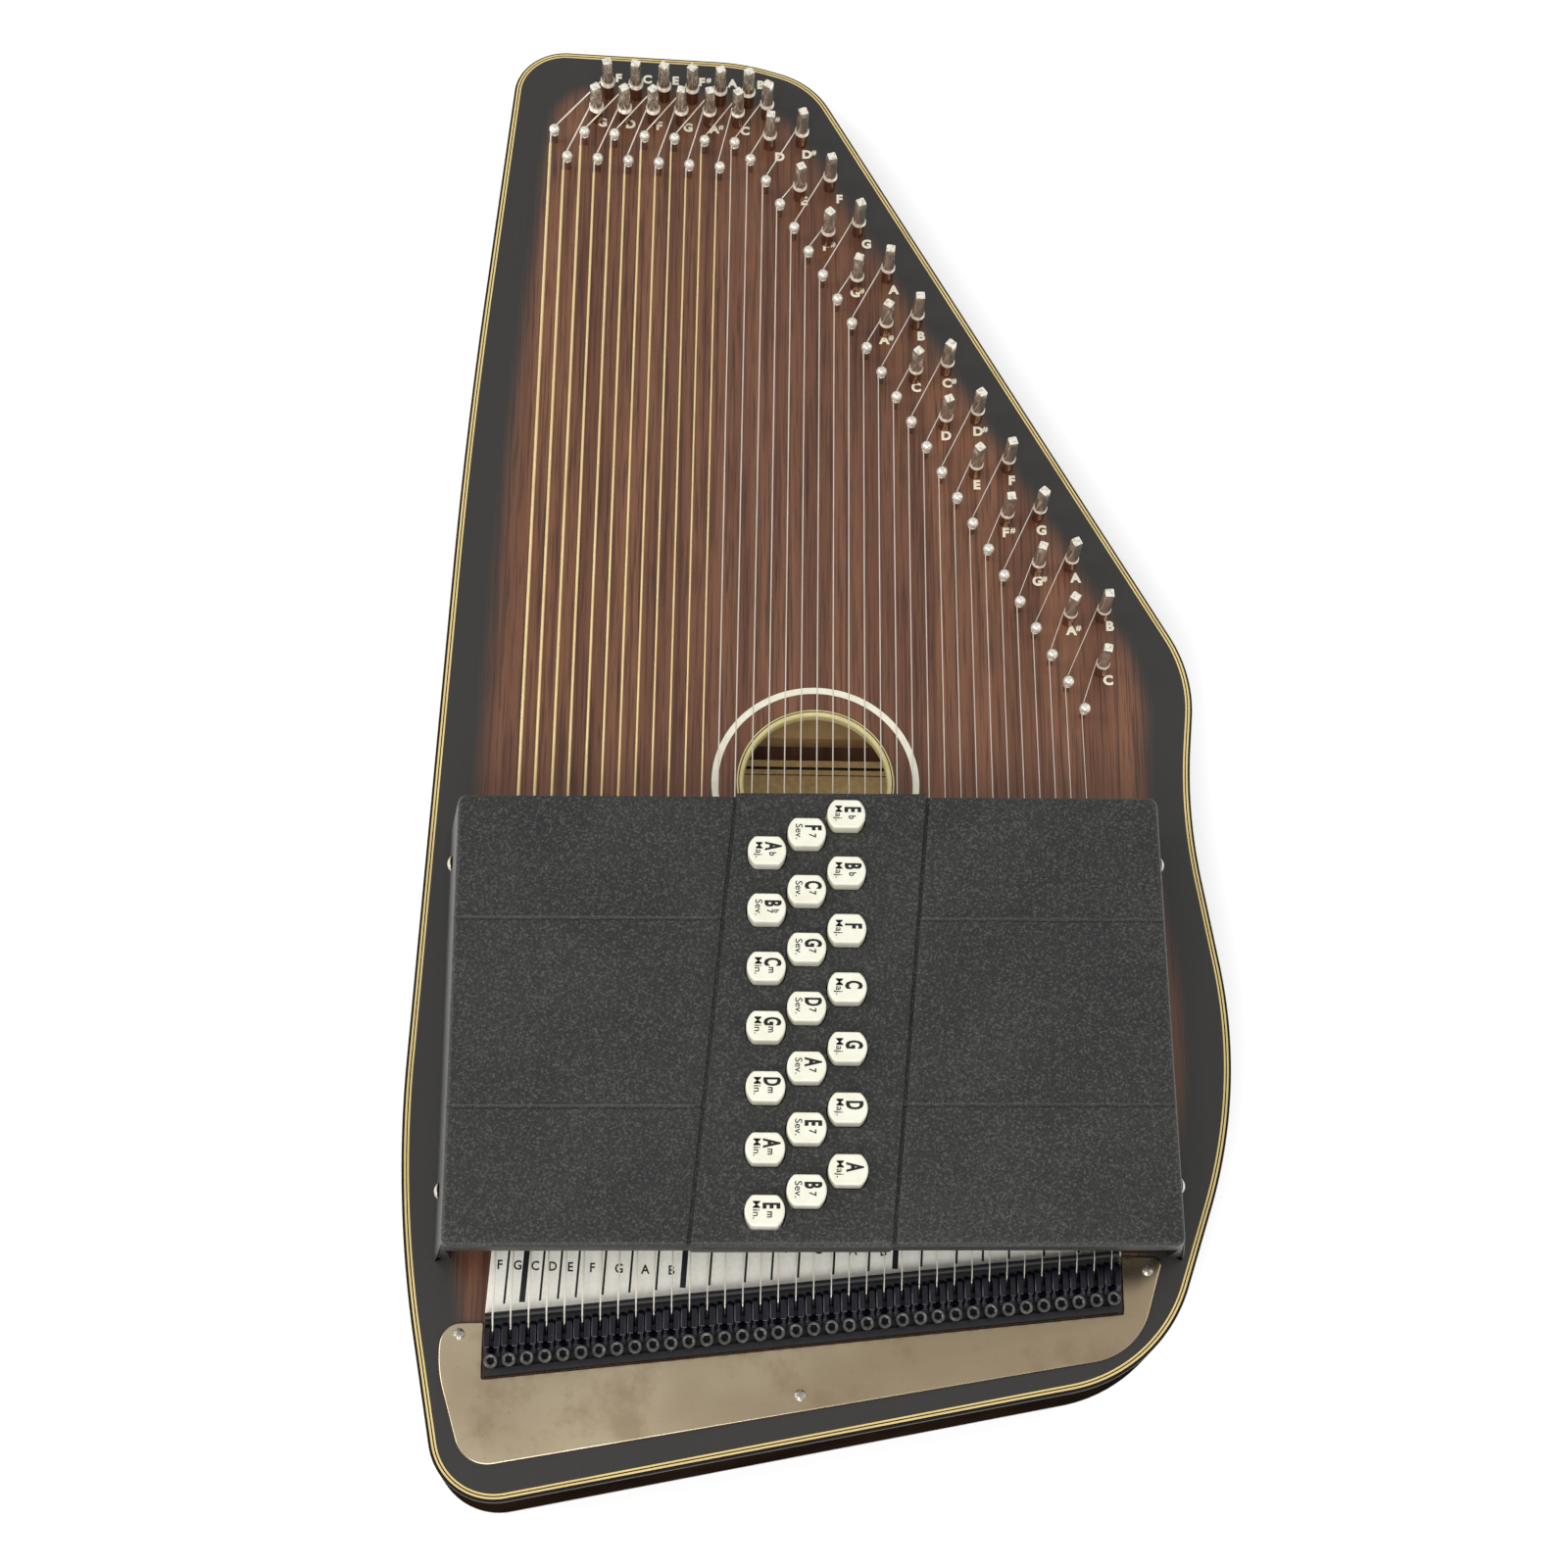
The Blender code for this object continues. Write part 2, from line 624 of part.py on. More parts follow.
def build_pins(shop, outline):
    """Add both sets of pins, each one solid with its slice under the soundboard."""
    block_free = zone_cutter(shop, "ply_free", SLANT_BLOCK_WIDTH, HEAD_BLOCK_WIDTH)
    seam = (SLANT_BLOCK_WIDTH - GUIDE_ZONE[0], HEAD_BLOCK_WIDTH - GUIDE_ZONE[1])
    guide_zone = zone_cutter(shop, "guide_zone", seam[0] + GAP, seam[1] + GAP)
    pin_zone_end = zone_cutter(shop, "pin_zone_end", *seam)
    for name, pin, places, cuts in (
        ("tuning_pins", tuning_pin_mesh(), tuning_pin_places(), [(pin_zone_end, "DIFFERENCE")]),
        (
            "guide_pins",
            guide_pin_mesh(),
            guide_places(),
            [(guide_zone, "INTERSECT"), (block_free, "DIFFERENCE")],
        ),
    ):
        loops = [inset(outline, PLY_INSET + GAP)]
        ply = flat_mesh(name, loops, PLY_BOTTOM, PLY_BOTTOM + PLY, shop.parts)
        pins = shop.part(name, ply, shop.nickel)
        for tool, operation in cuts:
            shop.cut(pins, tool, operation)
        standing = scattered(name + "_set", [(pin, Vector((p.x, p.y, TOP))) for p in places])
        shop.cut(pins, shop.cutter(name + "_set", standing), "UNION")


# Strings


def string_path(index):
    """Return a string's points with the radius of each, from its ball to its tuning pin."""
    wire, wrap = string_radii(index)
    saddle, guide = saddle_point(index), string_guide_point(index)
    ball_z = TOP + RAIL_FLOOR + GAP + BALL_RADIUS
    ball_y = tuner_line_y(saddle.x) + BALL_START
    ball = [Vector((saddle.x, ball_y + part * BALL_LENGTH, ball_z)) for part in (0, 1)]
    leaving = ball[1] + (saddle - ball[1]).normalized() * WRAP_TAPER / 2
    pin = tuning_pin_places()[index]
    end = Vector((pin.x - PIN_RADIUS - GAP - wire, pin.y, TOP + PIN_COIL_HEIGHT))
    path = [(ball[0], BALL_RADIUS), (ball[1], BALL_RADIUS), (leaving, wire), (saddle, wire)]
    if wrap:
        along = (guide - saddle).normalized()
        for y, radius, back in (
            (WRAP_START_Y, wire, WRAP_TAPER),
            (WRAP_START_Y, wrap, 0),
            (guide.y - WRAP_END_BELOW_GUIDE, wrap, 0),
            (guide.y - WRAP_END_BELOW_GUIDE, wire, -WRAP_TAPER),
        ):
            run = (y - saddle.y) / along.y - back
            path.append((saddle + along * run, radius))
    return path + [(guide, wire), (end, wire)]


def string_tubes(name, indices, shop):
    """Return the mesh of a set of strings."""
    curve = bpy.data.curves.new(name, "CURVE")
    curve.dimensions = "3D"
    curve.bevel_depth = PLAIN_RADIUS[0]
    curve.bevel_resolution = 0
    curve.use_fill_caps = True
    for index in indices:
        path = string_path(index)
        spline = curve.splines.new("POLY")
        spline.points.add(len(path) - 1)
        for target, (point, radius) in zip(spline.points, path):
            target.co = (*point, 1)
            target.radius = radius / curve.bevel_depth
    bm = bmesh.new()
    bm.from_mesh(applied(add_object(name, curve, shop.parts)))
    bmesh.ops.remove_doubles(bm, verts=bm.verts, dist=0.01 * MM)
    return finish_mesh(bm, name)


def build_strings(shop):
    """Add both sets of strings, each one solid with its length of the saddle rod."""
    middle = (anchor_x(WOUND_STRINGS - 1) + anchor_x(WOUND_STRINGS)) / 2
    start, end = tuner_ends()
    section = circle((SADDLE_OFFSET, SADDLE_Z - TOP), SADDLE_RADIUS, SADDLE_SIDES)
    for name, indices, finish, span in (
        ("wound_strings", range(WOUND_STRINGS), shop.bronze, (start, middle - GAP / 2)),
        ("plain_strings", range(WOUND_STRINGS, STRINGS), shop.steel, (middle + GAP / 2, end)),
    ):
        rod = shop.part(name, along_tuner(name, section, *span), finish)
        tubes = string_tubes(name + "_set", indices, shop)
        shop.cut(rod, shop.cutter(name + "_set", tubes), "UNION")


# Fine tuner


def tuner_ends():
    """Return the X of both ends of the fine tuner's rail."""
    half = STRINGS * STRING_PITCH / 2 - TUNER_MARGIN
    return STRING_CENTRE_X - half, STRING_CENTRE_X + half


def along_tuner(name, profile, start_x, end_x):
    """Return a bar that follows the fine tuner line; its profile is offset along Y and height."""
    rings = []
    for x in (start_x, end_x):
        y = tuner_line_y(x)
        rings.append([(x, y + offset, TOP + height) for offset, height in profile])
    return loft_mesh(name, rings)


def tuner_strip(name, offset, bottom, size, shop):
    """Return a strip along the tuner that joins its row of pieces into one solid."""
    width, thickness = size
    profile = [
        (offset, bottom),
        (offset + width, bottom),
        (offset + width, bottom + thickness),
        (offset, bottom + thickness),
    ]
    ends = (anchor_x(0) - CAP_SCREW_RADIUS, anchor_x(STRINGS - 1) + CAP_SCREW_RADIUS)
    return shop.cutter(name, along_tuner(name, profile, *ends))


def build_fine_tuner(shop):
    channel = SCREW_CHANNEL / 2
    profile = [
        (RAIL_BACK, GAP),
        (RAIL_FRONT, GAP),
        (RAIL_FRONT, RAIL_FRONT_LAND),
        (BALL_TROUGH[1], RAIL_FRONT_LAND),
        (BALL_TROUGH[1], RAIL_FLOOR),
        (BALL_TROUGH[0], RAIL_FLOOR),
        (BALL_TROUGH[0], RAIL_LAND),
        (channel, RAIL_LAND),
        (channel, RAIL_FLOOR),
        (-channel, RAIL_FLOOR),
        (-channel, RAIL_LAND),
        (RAIL_BACK, RAIL_LAND),
    ]
    shop.part("fine_tuner_rail", along_tuner("rail", profile, *tuner_ends()), shop.black_metal)
    first, second = [Vector((anchor_x(i), tuner_line_y(anchor_x(i)), TOP)) for i in (0, 1)]
    build_claws(shop, first, second - first)
    build_cap_screws(shop, first, second - first)


def claw_mesh():
    """Return one claw: a plate under its screw's head and a hook over the string's ball."""
    plate_top = CLAW_BOTTOM + CLAW_PLATE
    heel = CAP_SCREW_RADIUS + GAP
    hook = BALL_TROUGH[0] + MM
    profile = [
        (heel, CLAW_BOTTOM),
        (BALL_TROUGH[0] - GAP, CLAW_BOTTOM),
        (hook, plate_top + GAP),
        (CLAW_FRONT, plate_top - GAP),
        (CLAW_FRONT - CLAW_NOSE, CLAW_TOP),
        (hook, CLAW_TOP),
        (CAP_SCREW_HEAD_RADIUS + GAP, plate_top),
        (heel, plate_top),
    ]
    half = CLAW_WIDTH / 2
    return loft_mesh("claw", [[(x, y, z) for y, z in profile] for x in (-half, half)])


def add_row(target, step):
    """Repeat a node's solid once for each string."""
    copies = target.modifiers.new("row", "ARRAY")
    copies.count = STRINGS
    copies.use_relative_offset = False
    copies.use_constant_offset = True
    copies.constant_offset_displace = step
    copies.use_merge_vertices = False


def build_claws(shop, start, step):
    """Add the claws, one solid with the strip that runs through their hooks."""
    mesh = claw_mesh()
    mesh.transform(Matrix.Translation(start))
    claws = shop.part("fine_tuner_claws", mesh, shop.black, start)
    half = CLAW_SLOT / 2
    slot = box_mesh("claw_slot", (-half, CLAW_SLOT_START, 0), (half, CLAW_FRONT + MM, CLAW_TOP + MM))
    slot.transform(Matrix.Translation(start))
    shop.cut(claws, shop.cutter("claw_slot", slot))
    add_row(claws, step)
    offset = BALL_TROUGH[0] + MM + STRIP_INSET
    bottom = CLAW_TOP - STRIP_INSET - CLAW_STRIP[1]
    shop.cut(claws, tuner_strip("claw_strip", offset, bottom, CLAW_STRIP, shop), "UNION")


def build_cap_screws(shop, start, step):
    """Add the fine tuning screws, one solid with the threaded strip in the rail's channel."""
    under_head = CLAW_BOTTOM + CLAW_PLATE + GAP
    strip_bottom = RAIL_FLOOR + GAP
    profile = [
        (0, under_head + CAP_SCREW_HEAD),
        (CAP_SCREW_HEAD_RADIUS, under_head + CAP_SCREW_HEAD),
        (CAP_SCREW_HEAD_RADIUS, under_head),
        (CAP_SCREW_RADIUS, under_head),
        (CAP_SCREW_RADIUS, strip_bottom + STRIP_INSET),
        (0, strip_bottom + STRIP_INSET),
    ]
    mesh = turned_mesh("cap_screw", profile, CAP_SCREW_SIDES)
    mesh.transform(Matrix.Translation(start))
    screws = shop.part("fine_tuner_screws", mesh, shop.black_metal, start)
    add_row(screws, step)
    strip = tuner_strip("screw_strip", -SCREW_STRIP[0] / 2, strip_bottom, SCREW_STRIP, shop)
    shop.cut(screws, strip, "UNION")


def plate_corners():
    """Return the tail plate's corners, which go with the fine tuner's ends, and its mouth round the rail."""
    bass, treble = tuner_ends()
    corners = [(bass - past, y, radius) for past, y, radius in PLATE_BASS]
    corners += [(treble + past, y, radius) for past, y, radius in PLATE_TREBLE]
    for x, gap in ((corners[-1][0], MOUTH_GAPS[1]), (corners[0][0], MOUTH_GAPS[0])):
        corners.append((x, tuner_line_y(x) + RAIL_BACK - gap, MOUTH_CORNER))
    return corners


def build_tail_plate(shop):
    low = TOP + GAP
    mesh = flat_mesh("tail_plate", [rounded(plate_corners())], low, low + PLATE_THICKNESS, shop.parts)
    shop.part("tail_plate", mesh, shop.chrome)


# Chord bars


NOTES = "C C# D D# E F F# G G# A A# B".split()
ROOTS = {"Eb": 3, "F": 5, "Ab": 8, "Bb": 10, "C": 0, "G": 7, "D": 2, "A": 9, "E": 4, "B": 11}
CHORD_STEPS = {"": (0, 4, 7), "m": (0, 3, 7), "7": (0, 4, 7, 10)}


def chord_notes(chord):
    """Return the notes, as numbers from C, that a chord leaves ringing."""
    root = chord.rstrip("m7")
    kind = chord[len(root):]
    return {(ROOTS[root] + step) % 12 for step in CHORD_STEPS[kind]}


def damped_runs(chord):
    """Return the first and last string of each run that a chord's felts stop."""
    ringing = chord_notes(chord)
    runs = []
    for index, note in enumerate(STRING_NOTES):
        if NOTES.index(note) in ringing:
            continue
        if runs and runs[-1][1] == index - 1:
            runs[-1][1] = index
        else:
            runs.append([index, index])
    return runs


def bar_mesh(chord, y):
    """Return a chord bar with its felts, as a comb that hangs over the strings."""
    comb = [(BAR_ENDS[0], BAR_TOP), (BAR_ENDS[0], BAR_BOTTOM)]
    for first, last in damped_runs(chord):
        low, high = string_x(first, y) - FELT_OVERLAP, string_x(last, y) + FELT_OVERLAP
        comb += [(low, BAR_BOTTOM), (low, FELT_BOTTOM), (high, FELT_BOTTOM), (high, BAR_BOTTOM)]
    comb += [(BAR_ENDS[1], BAR_BOTTOM), (BAR_ENDS[1], BAR_TOP)]
    half = BAR_WIDTH / 2
    return loft_mesh("chord_bar", [[(x, side, z) for x, z in comb] for side in (y - half, y + half)])


def cap_outline(clearance=0.0):
    """Return a chord button's outline: a circle with two flat sides."""
    radius = CAP_RADIUS + clearance
    edge = math.asin((CAP_HALF_LENGTH + clearance) / radius)
    points = []
    for middle in (0, math.pi):
        for part in range(CAP_ARC_STEPS + 1):
            angle = middle - edge + 2 * edge * part / CAP_ARC_STEPS
            points.append((radius * math.cos(angle), radius * math.sin(angle)))
    return points


def button_mesh(x, y):
    """Return a chord button: its cap and the stem that stands on the bar."""
    outline = cap_outline()
    shrink = (STEM_HALF[0] / CAP_RADIUS, STEM_HALF[1] / CAP_HALF_LENGTH)
    stem = [(px * shrink[0], py * shrink[1]) for px, py in outline]
    levels = (
        (stem, BAR_TOP + GAP),
        (stem, CAP_BOTTOM),
        (outline, CAP_BOTTOM),
        (outline, COVER_TOP + CAP_RISE),
    )
    return loft_mesh("button", [[(x + px, y + py, z) for px, py in ring] for ring, z in levels])


def build_chord_bars(shop):
    for index, chord in enumerate(CHORDS):
        x, y = COLUMN_X[index % len(COLUMN_X)], bar_y(index)
        place = (x, y, BAR_BOTTOM)
        shop.part("chord_bar_" + chord, bar_mesh(chord, y), shop.black_metal, place)
        shop.part("chord_button_" + chord, button_mesh(x, y), shop.cream, place)


def build_bar_holder(shop, name, block_x, slot_x, spring_x):
    """Add a slotted holder that the bars' ends move in, and its springs."""
    last = bar_y(len(CHORDS) - 1)
    margin = BAR_WIDTH / 2 + HOLDER_END
    low = (block_x[0], last - margin, TOP + GAP)
    high = (block_x[1], FIRST_BAR_Y + margin, TOP + HOLDER_HEIGHT)
    holder = shop.part("bar_holder_" + name, box_mesh("holder", low, high), shop.black)

    half = BAR_WIDTH / 2 + SLOT_CLEARANCE
    floor, roof = TOP + HOLDER_FLOOR, TOP + HOLDER_HEIGHT + MM
    slot = box_mesh("slot", (slot_x[0], -half, floor), (slot_x[1], half, roof))
    slots = [(slot, Vector((0, bar_y(index), 0))) for index in range(len(CHORDS))]
    shop.cut(holder, shop.cutter(name + "_slots", scattered("slots", slots)))

    width, thickness = SPRING_STRIP
    strip_top = floor + GAP + SPRING_FOOT
    strip_low = (spring_x - width / 2, last - SPRING_RADIUS, strip_top - thickness)
    strip_high = (spring_x + width / 2, FIRST_BAR_Y + SPRING_RADIUS, strip_top)
    around = Vector((GAP, GAP, GAP))
    groove_low = Vector(strip_low) - around - Vector((0, margin, 0))
    groove = box_mesh("groove", groove_low, Vector(strip_high) + around)
    shop.cut(holder, shop.cutter(name + "_groove", groove))

    strip = box_mesh("strip", strip_low, strip_high)
    springs = shop.part("bar_springs_" + name, strip, shop.steel, (0, 0, strip_low[2]))
    coil = cylinder_mesh("spring", SPRING_RADIUS, floor + GAP, BAR_BOTTOM - GAP, SPRING_SIDES)
    coils = [(coil, Vector((spring_x, bar_y(index), 0))) for index in range(len(CHORDS))]
    shop.cut(springs, shop.cutter(name + "_coils", scattered("coils", coils)), "UNION")


def build_bar_holders(shop):
    bass, treble = HOLDER_INSIDE
    clear = SLOT_CLEARANCE
    for name, block_x, slot_x, spring_x in (
        (
            "bass",
            (bass - HOLDER_WIDTH, bass),
            (BAR_ENDS[0] - clear, bass + clear),
            BAR_ENDS[0] + SPRING_INSET,
        ),
        (
            "treble",
            (treble, treble + HOLDER_WIDTH),
            (treble - clear, BAR_ENDS[1] + clear),
            BAR_ENDS[1] - SPRING_INSET,
        ),
    ):
        build_bar_holder(shop, name, block_x, slot_x, spring_x)


# Cover


def cover_ring(grow_x, grow_y, height):
    """Return the cover's rounded rectangle, grown sideways, at a height over the soundboard."""
    low = (COVER_X[0] - grow_x, COVER_Y[0] - grow_y)
    high = (COVER_X[1] + grow_x, COVER_Y[1] + grow_y)
    radius = COVER_CORNER
    ring = []
    for x, y, quarter in (
        (high[0] - radius, high[1] - radius, 0),
        (low[0] + radius, high[1] - radius, 1),
        (low[0] + radius, low[1] + radius, 2),
        (high[0] - radius, low[1] + radius, 3),
    ):
        for part in range(COVER_CORNER_STEPS + 1):
            angle = (quarter + part / COVER_CORNER_STEPS) * math.pi / 2
            ring.append((x + radius * math.cos(angle), y + radius * math.sin(angle), TOP + height))
    return ring


def cover_shell_mesh():
    """Return the cover's outer skin, open at the bottom."""
    bm = bmesh.new()
    edge_share = COVER_EDGE / COVER_HEIGHT
    rings = [
        cover_ring(*COVER_FLARE, COVER_SEAT),
        cover_ring(COVER_FLARE[0] * edge_share, COVER_FLARE[1] * edge_share, COVER_HEIGHT - COVER_EDGE),
        cover_ring(-COVER_EDGE, -COVER_EDGE, COVER_HEIGHT),
    ]
    loops = [[bm.verts.new(point) for point in ring] for ring in rings]
    for lower, upper in zip(loops, loops[1:]):
        for index in range(len(lower)):
            following = (index + 1) % len(lower)
            bm.faces.new((lower[index], lower[following], upper[following], upper[index]))
    bm.faces.new(loops[-1])
    return finish_mesh(bm, "cover_shell")


def build_cover(shop):
    """Add the shell over the bars, with windows for the strings and openings for the buttons."""
    shell = add_object("cover_shell", cover_shell_mesh(), shop.parts)
    wall = shell.modifiers.new("wall", "SOLIDIFY")
    wall.thickness = COVER_WALL
    wall.offset = -1
    wall.use_even_offset = True
    cover = shop.part("chord_bar_cover", applied(shell), shop.black)

    underside = COVER_TOP - COVER_WALL
    last = bar_y(len(CHORDS) - 1) - BAR_WIDTH / 2
    ribs = []
    for x in (BAR_ENDS[0], BAR_ENDS[1] - HOLD_DOWN_WIDTH):
        low = (x, last, BAR_TOP + GAP)
        high = (x + HOLD_DOWN_WIDTH, FIRST_BAR_Y + BAR_WIDTH / 2, underside + HOLD_DOWN_FUSE)
        ribs.append((box_mesh("rib", low, high), Vector((0, 0, 0))))
    shop.cut(cover, shop.cutter("hold_down_ribs", scattered("ribs", ribs)), "UNION")

    low = (COVER_X[0] + WINDOW_SIDE, COVER_Y[0] - 4 * COVER_WALL, TOP - MM)
    high = (COVER_X[1] - WINDOW_SIDE, COVER_Y[1] + 4 * COVER_WALL, TOP + WINDOW_HEIGHT)
    shop.cut(cover, shop.cutter("string_windows", box_mesh("string_windows", low, high)))

    outline = cap_outline(CAP_CLEARANCE)
    ends = (underside - MM, COVER_TOP + MM)
    opening = loft_mesh("opening", [[(x, y, z) for x, y in outline] for z in ends])
    places = [
        Vector((COLUMN_X[index % len(COLUMN_X)], bar_y(index), 0)) for index in range(len(CHORDS))
    ]
    openings = scattered("button_openings", [(opening, place) for place in places])
    shop.cut(cover, shop.cutter("button_openings", openings))


def main():
    clear_scene()
    shop = Workshop()
    outline = rounded(OUTLINE)
    pin_bores = bore_cutter(shop, "tuning_pin_bores", tuning_pin_places(), PIN_RADIUS + GAP)
    guide_bores = bore_cutter(shop, "guide_pin_bores", guide_places(), GUIDE_NECK_RADIUS + GAP)
    build_body(shop, outline, pin_bores, guide_bores)
    build_pins(shop, outline)
    build_strings(shop)
    build_fine_tuner(shop)
    build_tail_plate(shop)
    build_chord_bars(shop)
    build_bar_holders(shop)
    build_cover(shop)


main()
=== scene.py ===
# %% [markdown]
# # An autoharp, dressed
#
# An autoharp is a zither: 36 strings over a shallow wooden box, and 21 felted bars under a cover.
# Pressing a button lowers its bar, whose felts stop every string that is not in the chord.
# The frame that this file loads holds the solids that carry, fit and move. Here they get their
# looks: smooth shells where the solids have flat facets, windings and lettering that are too fine
# for them, and a finish for each surface.

import json
import math

import bmesh
import bpy
import numpy as np
from mathutils import Matrix, Vector


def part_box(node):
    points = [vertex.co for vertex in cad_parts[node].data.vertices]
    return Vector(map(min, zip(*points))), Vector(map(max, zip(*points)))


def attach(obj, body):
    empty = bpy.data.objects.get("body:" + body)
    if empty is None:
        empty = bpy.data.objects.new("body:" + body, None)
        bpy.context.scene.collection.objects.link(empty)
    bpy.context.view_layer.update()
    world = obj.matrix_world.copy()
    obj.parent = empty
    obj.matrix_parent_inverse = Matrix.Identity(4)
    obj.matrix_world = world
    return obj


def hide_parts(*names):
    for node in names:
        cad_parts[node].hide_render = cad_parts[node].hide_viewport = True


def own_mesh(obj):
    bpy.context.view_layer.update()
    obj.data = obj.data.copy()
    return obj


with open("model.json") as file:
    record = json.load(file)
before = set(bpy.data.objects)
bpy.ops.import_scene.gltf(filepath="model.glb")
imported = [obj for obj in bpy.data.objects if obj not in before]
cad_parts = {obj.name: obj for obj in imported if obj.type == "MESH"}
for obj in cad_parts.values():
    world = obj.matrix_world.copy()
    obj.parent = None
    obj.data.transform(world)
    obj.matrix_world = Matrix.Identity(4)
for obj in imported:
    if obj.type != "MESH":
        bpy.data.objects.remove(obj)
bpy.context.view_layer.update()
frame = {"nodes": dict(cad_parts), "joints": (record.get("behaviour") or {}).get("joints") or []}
CHORDS = [joint["name"].removeprefix("press_") for joint in frame["joints"]]
print("chords:", " ".join(CHORDS))

# %% [markdown]
# ## Sizes that the looks share with the solids
#
# A piece that is dressed here has to lie exactly where its solid is. Heights and rows that can be
# measured are read from the frame. What cannot be read from a box, such as the spacing of the
# strings, is repeated from the solids as a named value.

# %% Heights and rows
MM = 0.001
TAU = 2 * math.pi
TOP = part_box("soundboard")[1].z  # upper face of the soundboard
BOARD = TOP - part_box("soundboard")[0].z
HAIR = 0.02 * MM  # between two pieces that touch

STRINGS = 36
WOUND_STRINGS = 12
STRING_PITCH = 6.35 * MM
STRING_CENTRE_X = -6.3 * MM
STRING_HEIGHT = 8.2 * MM
TUNER_Y = -249 * MM
TUNER_SLOPE = 0.1104

anchor_x = STRING_CENTRE_X + (np.arange(STRINGS) - (STRINGS - 1) / 2) * STRING_PITCH
tuner_y = TUNER_Y + TUNER_SLOPE * (anchor_x - STRING_CENTRE_X)
print("soundboard's top:", TOP, "strings from", anchor_x[0], "to", anchor_x[-1])

# %% Places of the pins
def row(start, step, count):
    """Return places in millimetres: start plus step times 0, 1, 2 and so on, in metres."""
    return (np.array(start) + np.outer(np.arange(count), step)) * MM


def interleaved(first, second):
    """Return the places of two rows taken in turn."""
    return np.stack((first, second), 1).reshape(-1, 2)


def guide_pin_places():
    """Return where the guide pins stand: two rows at the head, then one by the slanted edge."""
    even = np.concatenate((row((-107.6, 245.3), (12.95, -0.7), 6), row((-29.9, 246.0), (0, 0), 1)))
    head = interleaved(row((-113.5, 258.6), (12.8, -0.72), 7), even)
    return np.concatenate((head, row((-23.2, 235.4), (6.02, -11.5), STRINGS - len(head))))


def tuning_pin_places():
    """Return where the tuning pins stand, two rows all the way."""
    head = interleaved(row((-91.5, 283.5), (12.1, -0.65), 6), row((-96.0, 270.6), (12.1, -0.15), 6))
    corner = np.array([(-23.0, 274.2), (-21.7, 258.7)]) * MM
    slant = interleaved(
        row((-8.0, 260.6), (12.06, -22.33), 11),
        row((-8.8, 233.1), (12.0, -21.95), 11),
    )
    return np.concatenate((head, corner, slant))


guide_pins = guide_pin_places()
tuning_pins = tuning_pin_places()
print(len(guide_pins), "guide pins and", len(tuning_pins), "tuning pins")

# %% [markdown]
# ## Surfaces from arrays
#
# A new piece could be pushed and pulled out of a cube by hand. Here each one is worked out: its
# points are a function of two parameters, a row and a column, so a whole piece is one array. Any
# axis in front of those two stands for copies, which is how 36 pins come from one pin. A helper
# joins neighbouring points with four-sided faces and closes the first and the last row.

# %% Meshes and objects
def linked(name, data):
    """Return a new object of the data, in the scene."""
    made = bpy.data.objects.new(name, data)
    bpy.context.scene.collection.objects.link(made)
    return made


def mesh_of(name, points, faces):
    mesh = bpy.data.meshes.new(name)
    mesh.from_pydata(points.tolist(), [], faces)
    return mesh


def arrays_of(mesh):
    """Return a mesh's points and faces."""
    points = np.empty(len(mesh.vertices) * 3)
    mesh.vertices.foreach_get("co", points)
    return points.reshape(-1, 3), [list(face.vertices) for face in mesh.polygons]


def joined(name, parts):
    """Return one mesh of many pairs of points and faces."""
    points, faces, count = [], [], 0
    for part_points, part_faces in parts:
        points.append(part_points)
        faces += [[corner + count for corner in face] for face in part_faces]
        count += len(part_points)
    return mesh_of(name, np.concatenate(points), faces)


def repeated(name, mesh, places):
    """Return the mesh copied to each place."""
    points, faces = arrays_of(mesh)
    return joined(name, [(points + place, faces) for place in places])


# %% Faces of a grid
def grid_faces(rows, columns, wrap_rows, wrap_columns):
    """Return the faces between neighbours; a wrapped direction joins its end to its start."""
    row_of, column_of = np.meshgrid(
        np.arange(rows if wrap_rows else rows - 1),
        np.arange(columns if wrap_columns else columns - 1),
        indexing="ij",
    )
    next_row, next_column = (row_of + 1) % rows, (column_of + 1) % columns
    low = ((row_of, column_of), (next_row, column_of))
    high = ((next_row, next_column), (row_of, next_column))
    return np.stack([r * columns + c for r, c in low + high], -1).reshape(-1, 4)


def surface(name, points, wrap=(False, True), capped=True):
    """Return the mesh of a grid of points, or of many copies of it; caps close its end rows."""
    points = np.asarray(points, float)
    rows, columns = points.shape[-3:-1]
    copies = points.reshape(-1, rows * columns, 3)
    starts = np.arange(len(copies))[:, None, None] * rows * columns
    faces = (grid_faces(rows, columns, *wrap) + starts).reshape(-1, 4).tolist()
    if capped:
        first = np.arange(columns)
        ends = np.stack((first[::-1], first + (rows - 1) * columns))
        faces += (ends + starts).reshape(-1, columns).tolist()
    return mesh_of(name, copies.reshape(-1, 3), faces)


def tag(mesh, name, values):
    """Store one number for each point, for a finish to read."""
    layer = mesh.attributes.new(name, "FLOAT", "POINT")
    layer.data.foreach_set("value", np.asarray(values, np.float32).ravel())


# %% A finished piece
def faced_outward(mesh):
    """Turn the faces of each closed shell so that they look outward."""
    shells = bmesh.new()
    shells.from_mesh(mesh)
    bmesh.ops.recalc_face_normals(shells, faces=shells.faces)
    shells.to_mesh(mesh)
    shells.free()


